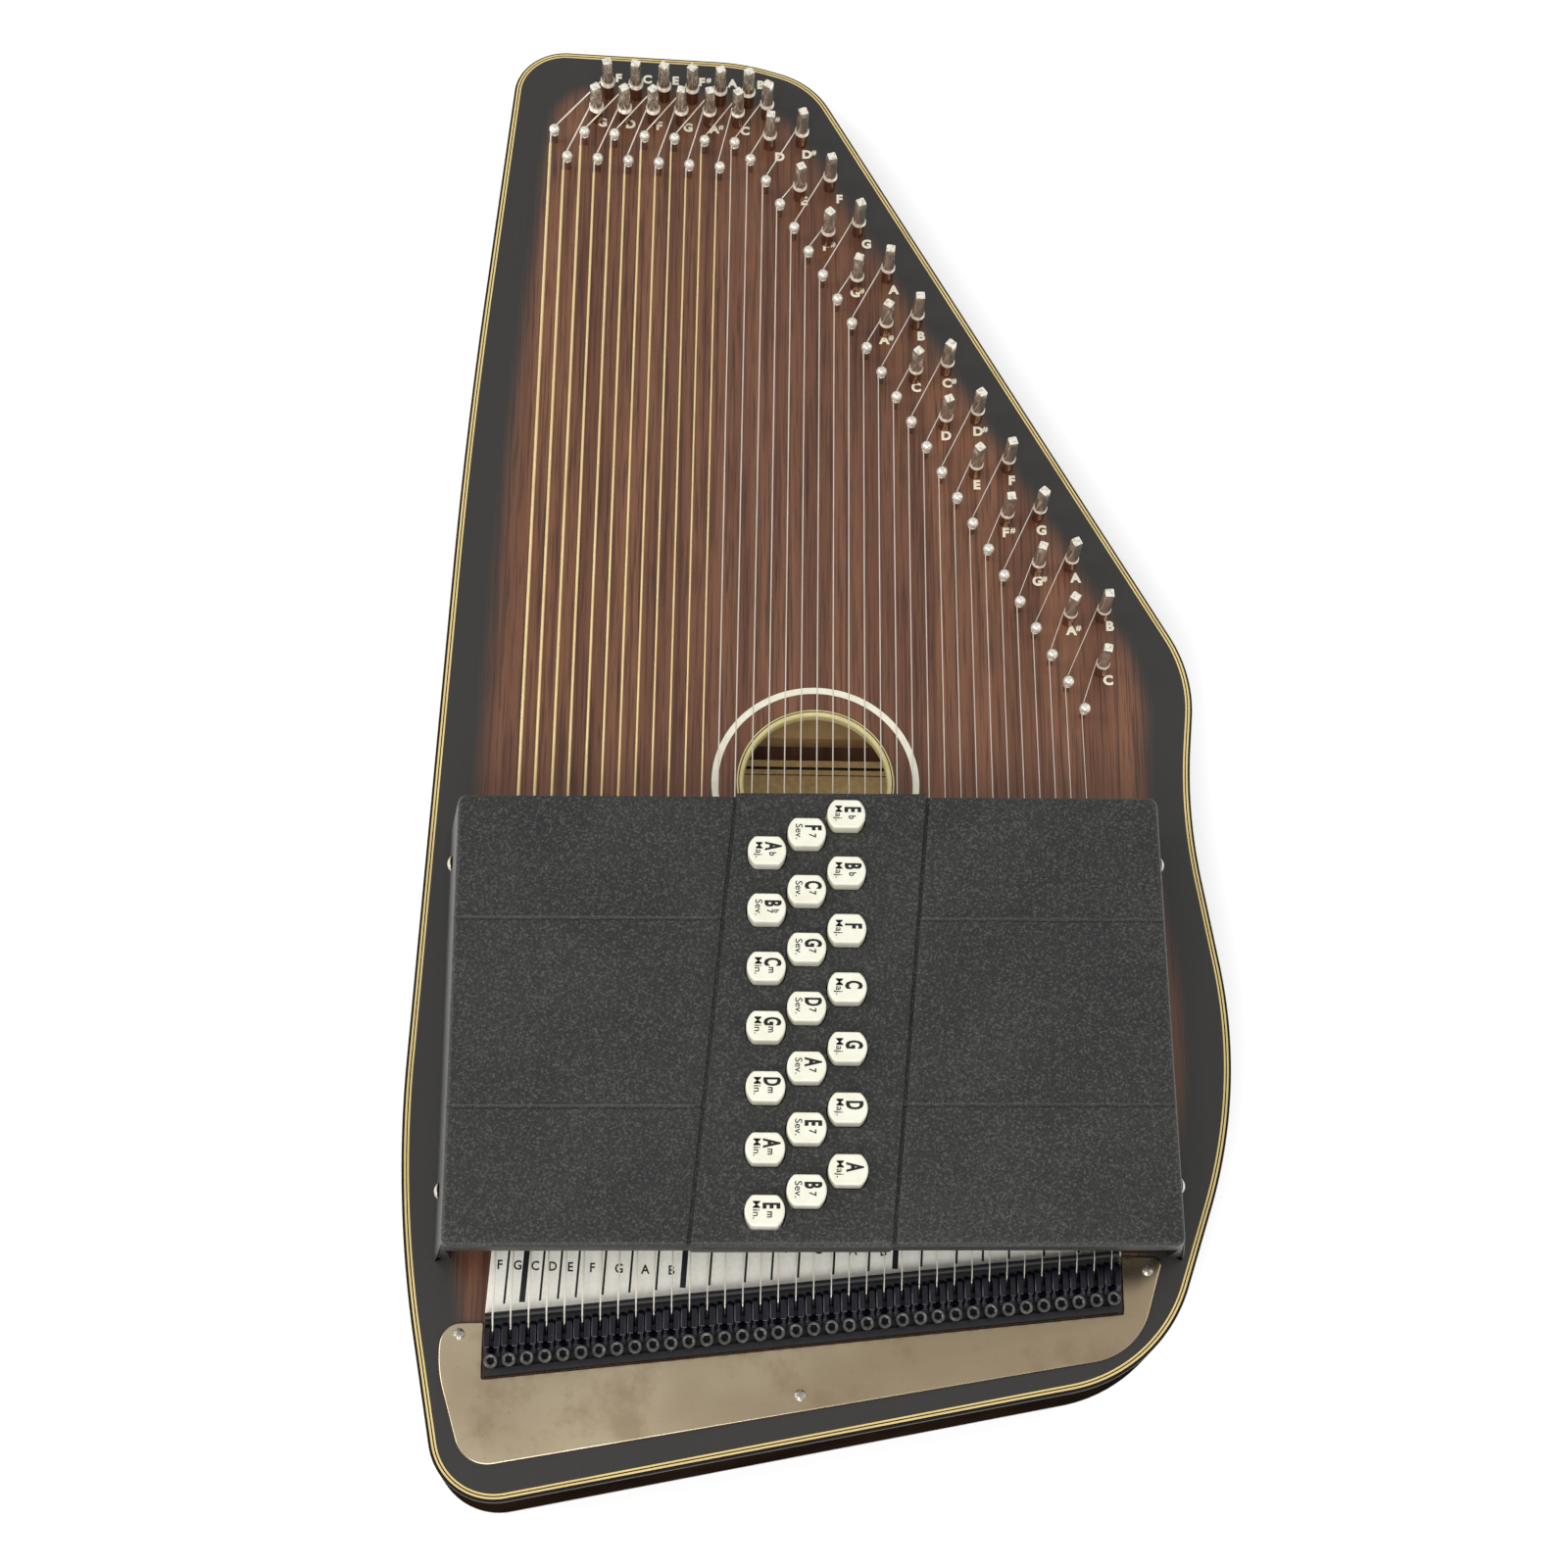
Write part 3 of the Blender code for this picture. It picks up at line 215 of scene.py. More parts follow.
def piece(name, mesh, finish, body="base", slot=None, replaces=(), crease=35):
    """Make an object of the mesh, smooth where its faces meet at less than crease degrees."""
    faced_outward(mesh)
    mesh.polygons.foreach_set("use_smooth", np.ones(len(mesh.polygons), bool))
    mesh.set_sharp_from_angle(angle=math.radians(crease))
    mesh.materials.clear()
    mesh.materials.append(finish)
    made = linked(name, mesh)
    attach(made, body)
    if replaces:
        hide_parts(*replaces)
    triangles = sum(len(face.vertices) - 2 for face in mesh.polygons)
    print(name, "has", triangles, "triangles")
    return made


def dress(name, mesh, finish, node, **how):
    """Make a piece that stands in for one of the frame's solids."""
    piece(name, mesh, finish, slot=node, replaces=[node], **how)


def evaluated(made):
    """Return a new mesh of an object as its modifiers or its text leave it."""
    graph = bpy.context.evaluated_depsgraph_get()
    return bpy.data.meshes.new_from_object(made.evaluated_get(graph), depsgraph=graph)


def cut(mesh, tool):
    """Return the mesh with the tool's closed volume taken out of it."""
    pair = [linked("cutting", part) for part in (mesh, tool)]
    for made in pair:
        faced_outward(made.data)
    step = pair[0].modifiers.new("cut", "BOOLEAN")
    step.operation = "DIFFERENCE"
    step.object = pair[1]
    result = evaluated(pair[0])
    for made in pair:
        bpy.data.objects.remove(made)
    return result


# %% [markdown]
# ## Turned shapes and boxes
#
# Pins, screws and rings are turned: a profile of radius and height, carried round an axis. A slot
# or a printed line is a box, which is a profile of four points carried along a straight line.

# %% Turned shapes
def polar(radius, angle):
    """Return X and Y at radius times (cos, sin) of the angle."""
    return np.stack((radius * np.cos(angle), radius * np.sin(angle)), -1)


def full_circle(sides):
    return np.arange(sides) * TAU / sides


def at_heights(flat, heights):
    """Return rows of X and Y as points, with one height for each row."""
    z = np.broadcast_to(np.reshape(heights, (-1, 1, 1)), flat.shape[:-1] + (1,))
    return np.concatenate((flat, z), -1)


def turned(profile, sides):
    """Return the points of a profile of radius and height, carried round."""
    radius, height = np.array(profile, float).T
    return at_heights(polar(radius[:, None], full_circle(sides)), height)


def fillet(centre, radius, start, end, steps=5):
    """Return the profile points of a round edge, from angle start to end in degrees."""
    angle = np.radians(np.linspace(start, end, steps))
    return (np.array(centre) + polar(radius, angle)).tolist()


def boxes(low, high):
    """Return boxes, two rows of four points each, from their lowest and highest corners."""
    low, high = np.broadcast_arrays(np.asarray(low, float), np.asarray(high, float))
    corners = np.stack((low, high), -2)
    x = np.take(corners[..., 0], (0, 1, 1, 0), -1)
    y = np.take(corners[..., 1], (0, 0, 1, 1), -1)
    z = corners[..., 2][..., :, None] + np.zeros(4)
    x, y = (np.broadcast_to(v[..., None, :], z.shape) for v in (x, y))
    return np.stack((x, y, z), -1)


def moved(points, places, height=0.0):
    """Return one copy of the points at each place, lifted by height."""
    places = np.asarray(places, float)
    heights = np.broadcast_to(height, places.shape[:-1])
    offsets = np.concatenate((places, heights[..., None]), -1)
    return points + offsets[..., None, None, :]


def rotated(x, y, angle):
    """Return x and y turned about the origin."""
    cos, sin = np.cos(angle), np.sin(angle)
    return x * cos - y * sin, x * sin + y * cos

# %% [markdown]
# ## Finishes from a few lines
#
# A finish is a tree of shader nodes. Wiring it by hand takes a line for each node and link. Here
# one class holds a socket and turns + - * and ** into Math nodes, so a mask is written as plain
# maths. A second class holds a material, adds every other kind of node through one method, and
# lays colours over one another, each with the share that covers what lies below.

# %% Sockets that can be added and multiplied
def operator(operation, swapped=False):
    """Return the method of an operator; swapped, its number stands before the value."""
    def method(self, other):
        inputs = (other, self) if swapped else (self, other)
        settings = {"operation": operation}
        node = self.finish.node("ShaderNodeMath", settings, dict(enumerate(inputs)))
        return Value(self.finish, node.outputs[0])
    return method


class Value:
    """A socket that carries a number or a colour, on which the operators add Math nodes."""

    def __init__(self, finish, socket):
        self.finish = finish
        self.socket = socket

    __add__ = operator("ADD")
    __sub__ = operator("SUBTRACT")
    __rsub__ = operator("SUBTRACT", swapped=True)
    __mul__ = operator("MULTIPLY")
    __pow__ = operator("POWER")
    larger = operator("MAXIMUM")
    above = operator("GREATER_THAN")

    def wave(self):
        """The sine of the value."""
        node = self.finish.node("ShaderNodeMath", {"operation": "SINE"}, {0: self})
        return Value(self.finish, node.outputs[0])

    def rise(self, start, end):
        """0 at start and 1 at end, with a soft S between them."""
        settings = {"interpolation_type": "SMOOTHSTEP"}
        inputs = {"Value": self, "From Min": start, "From Max": end}
        node = self.finish.node("ShaderNodeMapRange", settings, inputs)
        return Value(self.finish, node.outputs["Result"])


def linear(colour):
    """Return a colour as shaders count it from one as seen on screen, 0 to 255."""
    share = np.array(colour) / 255
    value = np.where(share <= 0.04045, share / 12.92, ((share + 0.055) / 1.055) ** 2.4)
    return (*value.tolist(), 1.0)


class Finish:
    """A material with one Principled shader."""

    def __init__(self, name, **constants):
        self.material = bpy.data.materials.new(name)
        self.material.use_nodes = True
        self.tree = self.material.node_tree
        self.shader = self.tree.nodes["Principled BSDF"]
        self.set(**constants)
        self.tree.nodes.active = self.shader

    def put(self, value, socket):
        """Link a value to a socket, or set the socket to a number."""
        if isinstance(value, Value):
            self.tree.links.new(value.socket, socket)
        else:
            socket.default_value = value

    def node(self, kind, settings=None, inputs=None):
        """Add a node: its settings first, then a value or a link for each named socket."""
        node = self.tree.nodes.new(kind)
        for name, value in (settings or {}).items():
            setattr(node, name, value)
        for name, value in (inputs or {}).items():
            self.put(value, node.inputs[name])
        return node

    def set(self, **links):
        """Link or set the shader's sockets, named with _ for a space."""
        for name, value in links.items():
            self.put(value, self.shader.inputs[name.replace("_", " ")])

    def place(self, scale=(1, 1, 1)):
        """Points of the object, in metres times scale."""
        points = self.node("ShaderNodeTexCoord").outputs["Object"]
        inputs = {"Vector": Value(self, points), "Scale": scale}
        return Value(self, self.node("ShaderNodeMapping", None, inputs).outputs[0])

    def axes(self):
        """X, Y and Z of the object's points as three values."""
        node = self.node("ShaderNodeSeparateXYZ", None, {0: self.place()})
        return [Value(self, socket) for socket in node.outputs]

    def attribute(self, name):
        node = self.node("ShaderNodeAttribute", {"attribute_name": name})
        return Value(self, node.outputs["Fac"])

    def noise(self, scale, detail=3.0, stretch=(1, 1, 1), roughness=0.5):
        inputs = {"Vector": self.place(stretch), "Scale": scale}
        inputs.update({"Detail": detail, "Roughness": roughness})
        return Value(self, self.node("ShaderNodeTexNoise", None, inputs).outputs[0])

    def pebbles(self, scale):
        inputs = {"Vector": self.place(), "Scale": scale}
        node = self.node("ShaderNodeTexVoronoi", {"feature": "SMOOTH_F1"}, inputs)
        return Value(self, node.outputs["Distance"])

    def mix(self, share, first, second):
        """The first colour where share is 0 and the second where it is 1."""
        first, second = (c if isinstance(c, Value) else linear(c) for c in (first, second))
        node = self.node("ShaderNodeMix", {"data_type": "RGBA"}, {0: share, 6: first, 7: second})
        return Value(self, node.outputs[2])

    def colour(self, lowest, *coats):
        """Set the base colour: coats laid over the lowest one, each a share and its colour."""
        for share, coat in coats:
            lowest = self.mix(share, lowest, coat)
        self.set(Base_Color=lowest)

    def bump(self, height, depth, strength):
        """Set the shader's normal from a height, whose 1 stands depth metres high."""
        inputs = {"Height": height, "Distance": depth, "Strength": strength}
        self.set(Normal=Value(self, self.node("ShaderNodeBump", None, inputs).outputs[0]))


# %% [markdown]
# ## Lacquered wood
#
# The soundboard is a reddish veneer with straight, open grain along the strings, sprayed black
# towards its edge so that the colour fades in, and clear lacquer over both. Grain is noise that is
# stretched along Y. The spray follows the outline, which no coordinate tells, so the mesh stores
# how much edge is near each point, and the finish reads that.

# %% Wood grain and the sprayed edge
def grain(finish, fine=1.0):
    """Fine pores, streaks and broad bands of straight grain along Y, each from 0 to 1."""
    pores = finish.noise(1.0, 2.0, (1600 * fine, 34, 400), 0.62)
    streaks = finish.noise(1.0, 3.0, (430 * fine, 7.5, 60), 0.6)
    bands = finish.noise(1.0, 3.0, (70 * fine, 1.6, 40), 0.55)
    return pores, streaks, bands


def soundboard_lacquer():
    look = {"Roughness": 0.36, "Coat_Weight": 0.14, "Coat_Roughness": 0.06}
    finish = Finish("lacquered_soundboard", **look)
    pores, streaks, bands = grain(finish)
    spray = finish.attribute("near_edge") + (bands - 0.5) * 0.05
    finish.colour(
        (108, 68, 48),
        (bands.rise(0.32, 0.68), (134, 90, 64)),
        (streaks.rise(0.5, 0.64) * 0.62, (68, 39, 28)),
        (pores.rise(0.5, 0.66) * 0.62, (50, 31, 23)),
        (spray.rise(0.12, 0.58) * 0.97, (44, 45, 44)),
    )
    finish.bump(pores, GRAIN_DEPTH, 0.35)
    return finish.material


def side_lacquer():
    finish = Finish("dark_lacquered_sides", Roughness=0.6, Specular_IOR_Level=0.0)
    pores, _, bands = grain(finish, 0.7)
    finish.colour(
        (24, 17, 13),
        (bands.rise(0.3, 0.7), (36, 25, 18)),
        (pores.rise(0.5, 0.8) * 0.5, (14, 10, 8)),
    )
    finish.bump(pores, GRAIN_DEPTH, 0.3)
    return finish.material


def back_lacquer():
    """Brown like the soundboard, and dark round its edge."""
    look = {"Roughness": 0.32, "Coat_Weight": 0.3, "Coat_Roughness": 0.15}
    finish = Finish("lacquered_back", **look)
    pores, streaks, bands = grain(finish)
    height = finish.axes()[2]
    edge = height.rise(0.3 * MM, 1.0 * MM) - height.above(BOARD - 0.1 * MM)
    finish.colour(
        (84, 54, 41),
        (bands.rise(0.32, 0.68), (112, 76, 57)),
        (streaks.rise(0.5, 0.68) * 0.5, (60, 38, 29)),
        (pores.rise(0.5, 0.75) * 0.55, (42, 27, 21)),
        (edge, (30, 22, 17)),
    )
    finish.bump(pores, GRAIN_DEPTH, 0.3)
    return finish.material


GRAIN_DEPTH = 0.03 * MM
SOUNDBOARD_LACQUER = soundboard_lacquer()
SIDE_LACQUER = side_lacquer()
BACK_LACQUER = back_lacquer()
print("three lacquers")

# %% [markdown]
# ## Binding
#
# The edge of the board is bound with thin strips: dark lacquer outermost, then cream, dark, cream.
# The strips follow the outline, so the mesh stores each point's distance from the edge.

# %% Striped binding
BINDING_STRIPS = (1.05, 1.75, 2.2, 2.85)  # millimetres from the edge where the colour changes


def binding_strips():
    finish = Finish("striped_binding", Roughness=0.45, Specular_IOR_Level=0.05)
    outer, line, inner, end = map(finish.attribute("from_edge").above, BINDING_STRIPS)
    stain = finish.noise(40.0, 3.0).rise(0.35, 0.75) * 0.35
    cream = finish.mix(stain, (236, 212, 148), (208, 182, 118))
    finish.colour((34, 27, 20), (outer - line + inner - end, cream))
    return finish.material


BINDING = binding_strips()

# %% [markdown]
# ## Metals
#
# Nickel, steel and bronze differ in colour and in how they were worked. Turned pins have faint
# rings, drawn wire has none, and the polished plate has hair scratches and a soft ripple that
# bends what it mirrors.

# %% Metals
def nickel(name, colour, roughness, foot=0.0, tip=1.0):
    """Plated, ringed by turning marks; painted brown shade below foot, a painted glint above tip.
    """
    finish = Finish(name)
    cloud = finish.noise(220.0, 3.0)
    rings = finish.noise(1.0, 2.0, (40, 40, 5200))
    height = finish.axes()[2]
    # Above tip the pin's top face is a painted glint: bright, mottled and less metallic.
    glint_top = height.above(tip)
    plated = finish.mix(cloud.rise(0.35, 0.75) * 0.5, colour, (176, 166, 146))
    glint_mottle = finish.noise(900.0, 2.0).rise(0.5, 0.62) * 0.6
    glint_colour = finish.mix(glint_mottle, (255, 251, 236), (176, 162, 136))
    # Below foot the brown is painted shade.
    finish.colour((150, 110, 84), (height.above(foot), plated), (glint_top, glint_colour))
    finish.set(Metallic=0.9 - glint_top * 0.6, Roughness=cloud * 0.16 + roughness)
    finish.bump(rings, 0.01 * MM, 0.12)
    return finish.material


def guide_pin_nickel():
    """Painted bright highlight on the ball head and its collar; darker on the neck below them."""
    finish = Finish("guide_pin_nickel")
    # The head's bright cream and its lower metallic are a painted highlight.
    bright = finish.axes()[2].above(TOP + GUIDE_HEAD_LOW)
    cloud = finish.noise(220.0, 3.0).rise(0.35, 0.75)
    head = finish.mix(cloud * 0.4, (250, 246, 234), (214, 206, 186))
    finish.colour((176, 156, 138), (bright, head))
    finish.set(Metallic=1 - bright * 0.45, Roughness=0.24 - bright * 0.12)
    return finish.material


def string_wire():
    """Drawn steel, painted shade at its ball in the claw, bronze wound round where the mesh says
    so.
    """
    finish = Finish("string_wire", Roughness=0.34)
    wound, along = finish.attribute("wound"), finish.attribute("along")
    turns = (along * (TAU / WRAP_PITCH)).wave()
    tarnish = finish.noise(60.0, 2.0).rise(0.3, 0.8)
    bronze = finish.mix(tarnish * 0.4, (255, 232, 172), (226, 186, 122))
    steel = finish.mix(tarnish * 0.5, (255, 248, 234), (216, 202, 182))
    # The ball and the wire in the claw's slot are painted dark as shade.
    finish.colour((26, 25, 34), (along.rise(*CLAW_SHADE_END), steel), (wound, bronze))
    finish.set(Metallic=0.5 - wound * 0.25)
    finish.bump(turns * wound, 0.06 * MM, 0.8)
    return finish.material


def polished_plate():
    finish = Finish("polished_plate", Metallic=1.0)
    ripple = finish.noise(11.0, 3.0)
    scratches = finish.noise(1.0, 2.0, (60, 2600, 400))
    speckle = finish.noise(900.0, 2.0).rise(0.66, 0.74)
    smudge = finish.noise(38.0, 4.0, (1, 1, 1), 0.65)
    finish.colour(
        (222, 204, 172),
        (ripple.rise(0.38, 0.66), (190, 170, 140)),
        (smudge.rise(0.5, 0.72) * 0.55, (164, 142, 112)),
        (speckle * 0.3, (120, 104, 86)),
    )
    finish.set(Roughness=smudge * 0.16 + scratches * 0.05 + 0.15)
    finish.bump(ripple + scratches * 0.01, 0.3 * MM, 0.5)
    return finish.material


# A tuning pin's colour is a painted brown shade below its plain length and a painted glint above
# it.
PIN_FOOT, PIN_TIP = TOP + 7.6 * MM, TOP + 23.2 * MM  # ends of a tuning pin's plain length
# A guide pin's head is painted bright as a highlight.
GUIDE_HEAD_LOW = 6.1 * MM  # lower end of a guide pin's bright head, over the soundboard
WRAP_PITCH = 0.42 * MM  # from one turn of the bronze to the next
# The string's dark ball and its wire in the claw are painted shade, which ends here.
CLAW_SHADE_END = (6.2 * MM, 7.2 * MM)  # along the string, where its dark ball turns to wire
TUNING_PIN_NICKEL = nickel("tuning_pin_nickel", (222, 214, 200), 0.14, PIN_FOOT, PIN_TIP)
GUIDE_PIN_NICKEL = guide_pin_nickel()
SCREW_NICKEL = nickel("screw_nickel", (190, 184, 172), 0.22)
STRING_WIRE = string_wire()
POLISHED_PLATE = polished_plate()
print("five metals")

# %% [markdown]
# ## Moulded cover, buttons and black metal
#
# The cover is black plastic from a mould with a leather grain: shallow pebbles of uneven size
# between creases that are a little glossier, with painted shade in the creases and painted
# highlights on the high spots. Buttons are ivory plastic, smooth, with the faintest clouding.

# %% Plastics and black parts
def leather_grain_plastic():
    """Pebbled charcoal, with painted shade in the creases and painted highlights on the high spots.
    """
    finish = Finish("leather_grain_plastic")
    creases = finish.noise(1150.0, 3.0, (1, 1, 1), 0.6)
    finish.colour(
        (38, 38, 37),
        (finish.noise(26.0, 3.0).rise(0.3, 0.75), (48, 48, 46)),
        # Painted shade where the grain is low, painted highlights where it is high.
        (creases.rise(0.5, 0.36) * 0.7, (22, 22, 22)),
        (creases.rise(0.53, 0.64) * 0.45, (104, 104, 100)),
    )
    finish.set(Roughness=creases.rise(0.3, 0.8) * 0.16 + 0.42)
    finish.bump((1 - finish.pebbles(1700.0)) * 0.5 + creases, 0.15 * MM, 0.8)
    return finish.material


def ivory_plastic():
    look = {"Roughness": 0.28, "Coat_Weight": 0.25, "Coat_Roughness": 0.08}
    finish = Finish("ivory_plastic", **look)
    cloud = finish.noise(160.0, 3.0).rise(0.3, 0.8)
    finish.colour((250, 249, 232), (cloud, (243, 240, 216)))
    finish.bump(finish.noise(700.0, 2.0), 0.01 * MM, 0.3)
    return finish.material


def black_gloss():
    """The claws' thick blue-black enamel, with painted bluish highlights."""
    finish = Finish("black_gloss", Specular_IOR_Level=0.45)
    glint_mottle = finish.noise(300.0, 3.0)
    # The lighter bluish patches are painted highlights.
    finish.colour((11, 10, 24), (glint_mottle.rise(0.55, 0.8) * 0.5, (40, 36, 68)))
    finish.set(Roughness=glint_mottle * 0.2 + 0.14)
    finish.bump(glint_mottle, 0.08 * MM, 0.5)
    return finish.material


def black_oxide():
    """The black skin of socket screws, with a painted grey highlight on the ring at their top."""
    finish = Finish("black_oxide", Metallic=0.85)
    mottle = finish.noise(420.0, 3.0)
    # Grey on the top ring is a painted highlight; black below it also paints the socket's shade.
    ring = finish.axes()[2].rise(TOP + 8.2 * MM, TOP + 8.45 * MM)
    grey = finish.mix(mottle.rise(0.42, 0.78), (92, 92, 91), (138, 136, 131))
    finish.colour((24, 24, 26), (ring, grey))
    finish.set(Roughness=mottle * 0.2 + 0.28)
    return finish.material


def anodised_with_felt():
    """Chord bars: black anodised aluminium above, grey wool felt below."""
    finish = Finish("anodised_bar_and_felt")
    bar = finish.axes()[2].above(FELT_TOP)
    fuzz = finish.noise(2400.0, 4.0, (1, 1, 1), 0.7)
    brushed = finish.noise(1.0, 2.0, (30, 900, 4000))
    felt = finish.mix(fuzz, (92, 90, 84), (146, 142, 132))
    metal = finish.mix(brushed, (24, 24, 26), (44, 44, 47))
    finish.colour(felt, (bar, metal))
    finish.set(Metallic=bar * 0.7, Roughness=0.95 - bar * 0.55)
    finish.bump(fuzz * (1 - bar) + brushed * bar * 0.05, 0.3 * MM, 0.6)
    return finish.material


def black_plastic():
    """The bar holders and the tuner's rail: plain black with a fine moulded texture."""
    finish = Finish("black_plastic")
    texture = finish.noise(1300.0, 3.0)
    finish.colour((20, 20, 22), (texture, (36, 36, 40)))
    finish.set(Roughness=texture * 0.2 + 0.38)
    finish.bump(texture, 0.04 * MM, 0.5)
    return finish.material


FELT_TOP = 51.45 * MM  # where a bar's felts end and its metal starts
LEATHER_GRAIN = leather_grain_plastic()
IVORY = ivory_plastic()
BLACK_GLOSS = black_gloss()
BLACK_OXIDE = black_oxide()
BAR_AND_FELT = anodised_with_felt()
BLACK_PLASTIC = black_plastic()
print("six finishes of the mechanism")

# %% [markdown]
# ## Paper, felt, inlay and ink
#
# The printed things are thin pieces of their own, a few hundredths of a millimetre thick, so their
# finishes stay simple: two close colours in fine flecks, which stand up a little as fibres do.

# %% Paper, felt, inlay and ink
def flecked(name, first, second, scale, roughness, depth=0.02 * MM):
    """Two close colours in fine flecks, with the flecks as height."""
    finish = Finish(name, Roughness=roughness)
    flecks = finish.noise(scale, 4.0, (1, 1, 1), 0.6)
    finish.colour(first, (flecks.rise(0.3, 0.75), second))
    finish.bump(flecks, depth, 0.5)
    return finish.material


def hole_lining():
    """Cream moulding of the sound hole, with one thin black line near its outer edge."""
    look = {"Roughness": 0.35, "Coat_Weight": 0.15, "Coat_Roughness": 0.1}
    finish = Finish("hole_lining", **look)
    x, y, _ = finish.axes()
    across = ((x - HOLE_CENTRE[0]) ** 2 + (y - HOLE_CENTRE[1]) ** 2) ** 0.5
    line = across.above(LINING_LINE[0]) - across.above(LINING_LINE[1])
    cloud = finish.noise(90.0, 3.0).rise(0.3, 0.8)
    finish.colour((232, 218, 158), (cloud, (216, 200, 136)), (line, (30, 26, 18)))
    return finish.material


HOLE_CENTRE = (-2.0 * MM, -36.0 * MM)
LINING_LINE = (29.65 * MM, 30.1 * MM)  # inner and outer radius of the line
HOLE_LINING = hole_lining()
ROSETTE_INLAY = flecked("rosette_inlay", (252, 250, 230), (238, 234, 212), 300.0, 0.3)
CHART_PAPER = flecked("chart_paper", (255, 253, 243), (246, 243, 230), 700.0, 0.55)
LABEL_PAPER = flecked("label_paper", (250, 214, 150), (230, 190, 128), 500.0, 0.7)
FELT_STRIP = flecked("felt_strip", (122, 118, 92), (84, 80, 60), 1800.0, 0.95, 0.25 * MM)
BLACK_INK = flecked("black_ink", (14, 14, 16), (26, 26, 28), 2500.0, 0.4)
CREAM_PAINT = flecked("cream_paint", (252, 248, 226), (238, 231, 206), 2500.0, 0.45)
BARE_MAPLE = flecked("bare_maple", (226, 186, 130), (198, 154, 100), 60.0, 0.6)
print("paper, felt, inlay and ink")

# %% [markdown]
# ## The body's outline
#
# The body is a lopsided harp: a straight bass side, a long slant under the tuning pins, and a
# waist on the treble side. It is ten corners, each rounded by an arc that touches both its sides.
# The solids follow it in flat steps; the pieces here take the same corners and finer arcs, evenly
# spaced, so that the lacquered sides shine without facets.

# %% Rounded outlines
def arcs(corners, steps):
    """Return the points of an outline whose corners, x, y and radius, are arcs of equal steps.

    An arc's centre lies on the corner's bisector, at the hypotenuse of its radius and its reach
    along the sides, which is the radius times the tangent of half the turn.
    """
    corners = np.array(corners, float)
    here = corners[:, :2]
    back = np.roll(here, 1, 0) - here
    ahead = np.roll(here, -1, 0) - here
    long_back = np.linalg.norm(back, axis=1)
    long_ahead = np.linalg.norm(ahead, axis=1)
    back /= long_back[:, None]
    ahead /= long_ahead[:, None]
    turn = math.pi - np.arccos(np.clip((back * ahead).sum(1), -1, 1))
    half = np.tan(turn / 2)
    reach = np.minimum(corners[:, 2] * half, 0.49 * np.minimum(long_back, long_ahead))
    radius = reach / half
    bisector = (back + ahead) / np.linalg.norm(back + ahead, axis=1)[:, None]
    centre = here + bisector * np.hypot(radius, reach)[:, None]
    first = here + back * reach[:, None] - centre
    start = np.arctan2(first[:, 1], first[:, 0])
    side = np.copysign(turn, back[:, 0] * ahead[:, 1] - back[:, 1] * ahead[:, 0])
    angle = start[:, None] - side[:, None] * np.linspace(0, 1, steps + 1)
    return (centre[:, None] + polar(radius[:, None], angle)).reshape(-1, 2)


def evenly(points, count):
    """Return count points at equal distances along a closed outline."""
    closed = np.concatenate((points, points[:1]))
    steps = np.linalg.norm(np.diff(closed, axis=0), axis=1)
    run = np.concatenate(([0], np.cumsum(steps)))
    places = np.linspace(0, run[-1], count, endpoint=False)
    return np.stack([np.interp(places, run, closed[:, axis]) for axis in (0, 1)], -1)


def inset(points, distance):
    """Return an outline moved inward; its inward side is a left turn from its direction."""
    along = np.roll(points, -1, 0) - np.roll(points, 1, 0)
    inward = np.stack((-along[:, 1], along[:, 0]), -1) / np.linalg.norm(along, axis=1)[:, None]
    return points + inward * distance


def rings(outline, profile):
    """Return the outline once for each profile point, which is a distance inward and a height."""
    distances, heights = zip(*profile)
    return at_heights(np.stack([inset(outline, distance) for distance in distances]), heights)


BODY_CORNERS = np.array([
    (-134, -313, 24),
    (123, -262.5, 58),
    (159.5, -155.5, 200),
    (143, -46, 220),
    (149, 13.5, 60),
    (-3, 292.5, 36),
    (-33, 302, 90),
    (-130.5, 306, 22),
    (-145, 117, 3000),
    (-156, -201.5, 450),
]) * MM
WAIST_CORNER, SLANT_CORNER, HEAD_CORNER = 4, 5, 7  # where the pin block starts, bends and ends
OUTLINE_POINTS = 900

body_outline = evenly(arcs(BODY_CORNERS, 60), OUTLINE_POINTS)
print("outline:", body_outline.min(0), body_outline.max(0))

# %% [markdown]
# ## Soundboard
#
# The board is one closed surface: its rows run from the binding in to the sound hole, down the
# hole's wall, back out below and up again, and its columns go round the body. A point between the
# outline and the hole is a share of the way from one to the other. The spray of black lacquer
# needs to know how much edge is near: that is the outline's length, weighed by a bell curve of
# distance, so it grows in the corners as a real spray does.

# %% Soundboard
HOLE_RADIUS = 28.5 * MM
BINDING_WIDTH = 2.9 * MM
BOARD_ROWS = 34
SPRAY_REACH = 13.0 * MM
BATCHES = 40  # of points, so that the table of distances stays small


def near_edge(points):
    """Return the sum over the outline of step * exp(-(distance / reach)^2 / 2).

    It is 1 on the line of a long straight edge.
    """
    step = np.linalg.norm(np.roll(body_outline, -1, 0) - body_outline, axis=1)
    total = np.zeros(len(points))
    for part in np.array_split(np.arange(len(points)), BATCHES):
        apart = points[part, None, :2] - body_outline[None]
        bell = np.exp(-(apart**2).sum(-1) / (2 * SPRAY_REACH**2))
        total[part] = (bell * step).sum(1) / (SPRAY_REACH * math.sqrt(TAU))
    return total


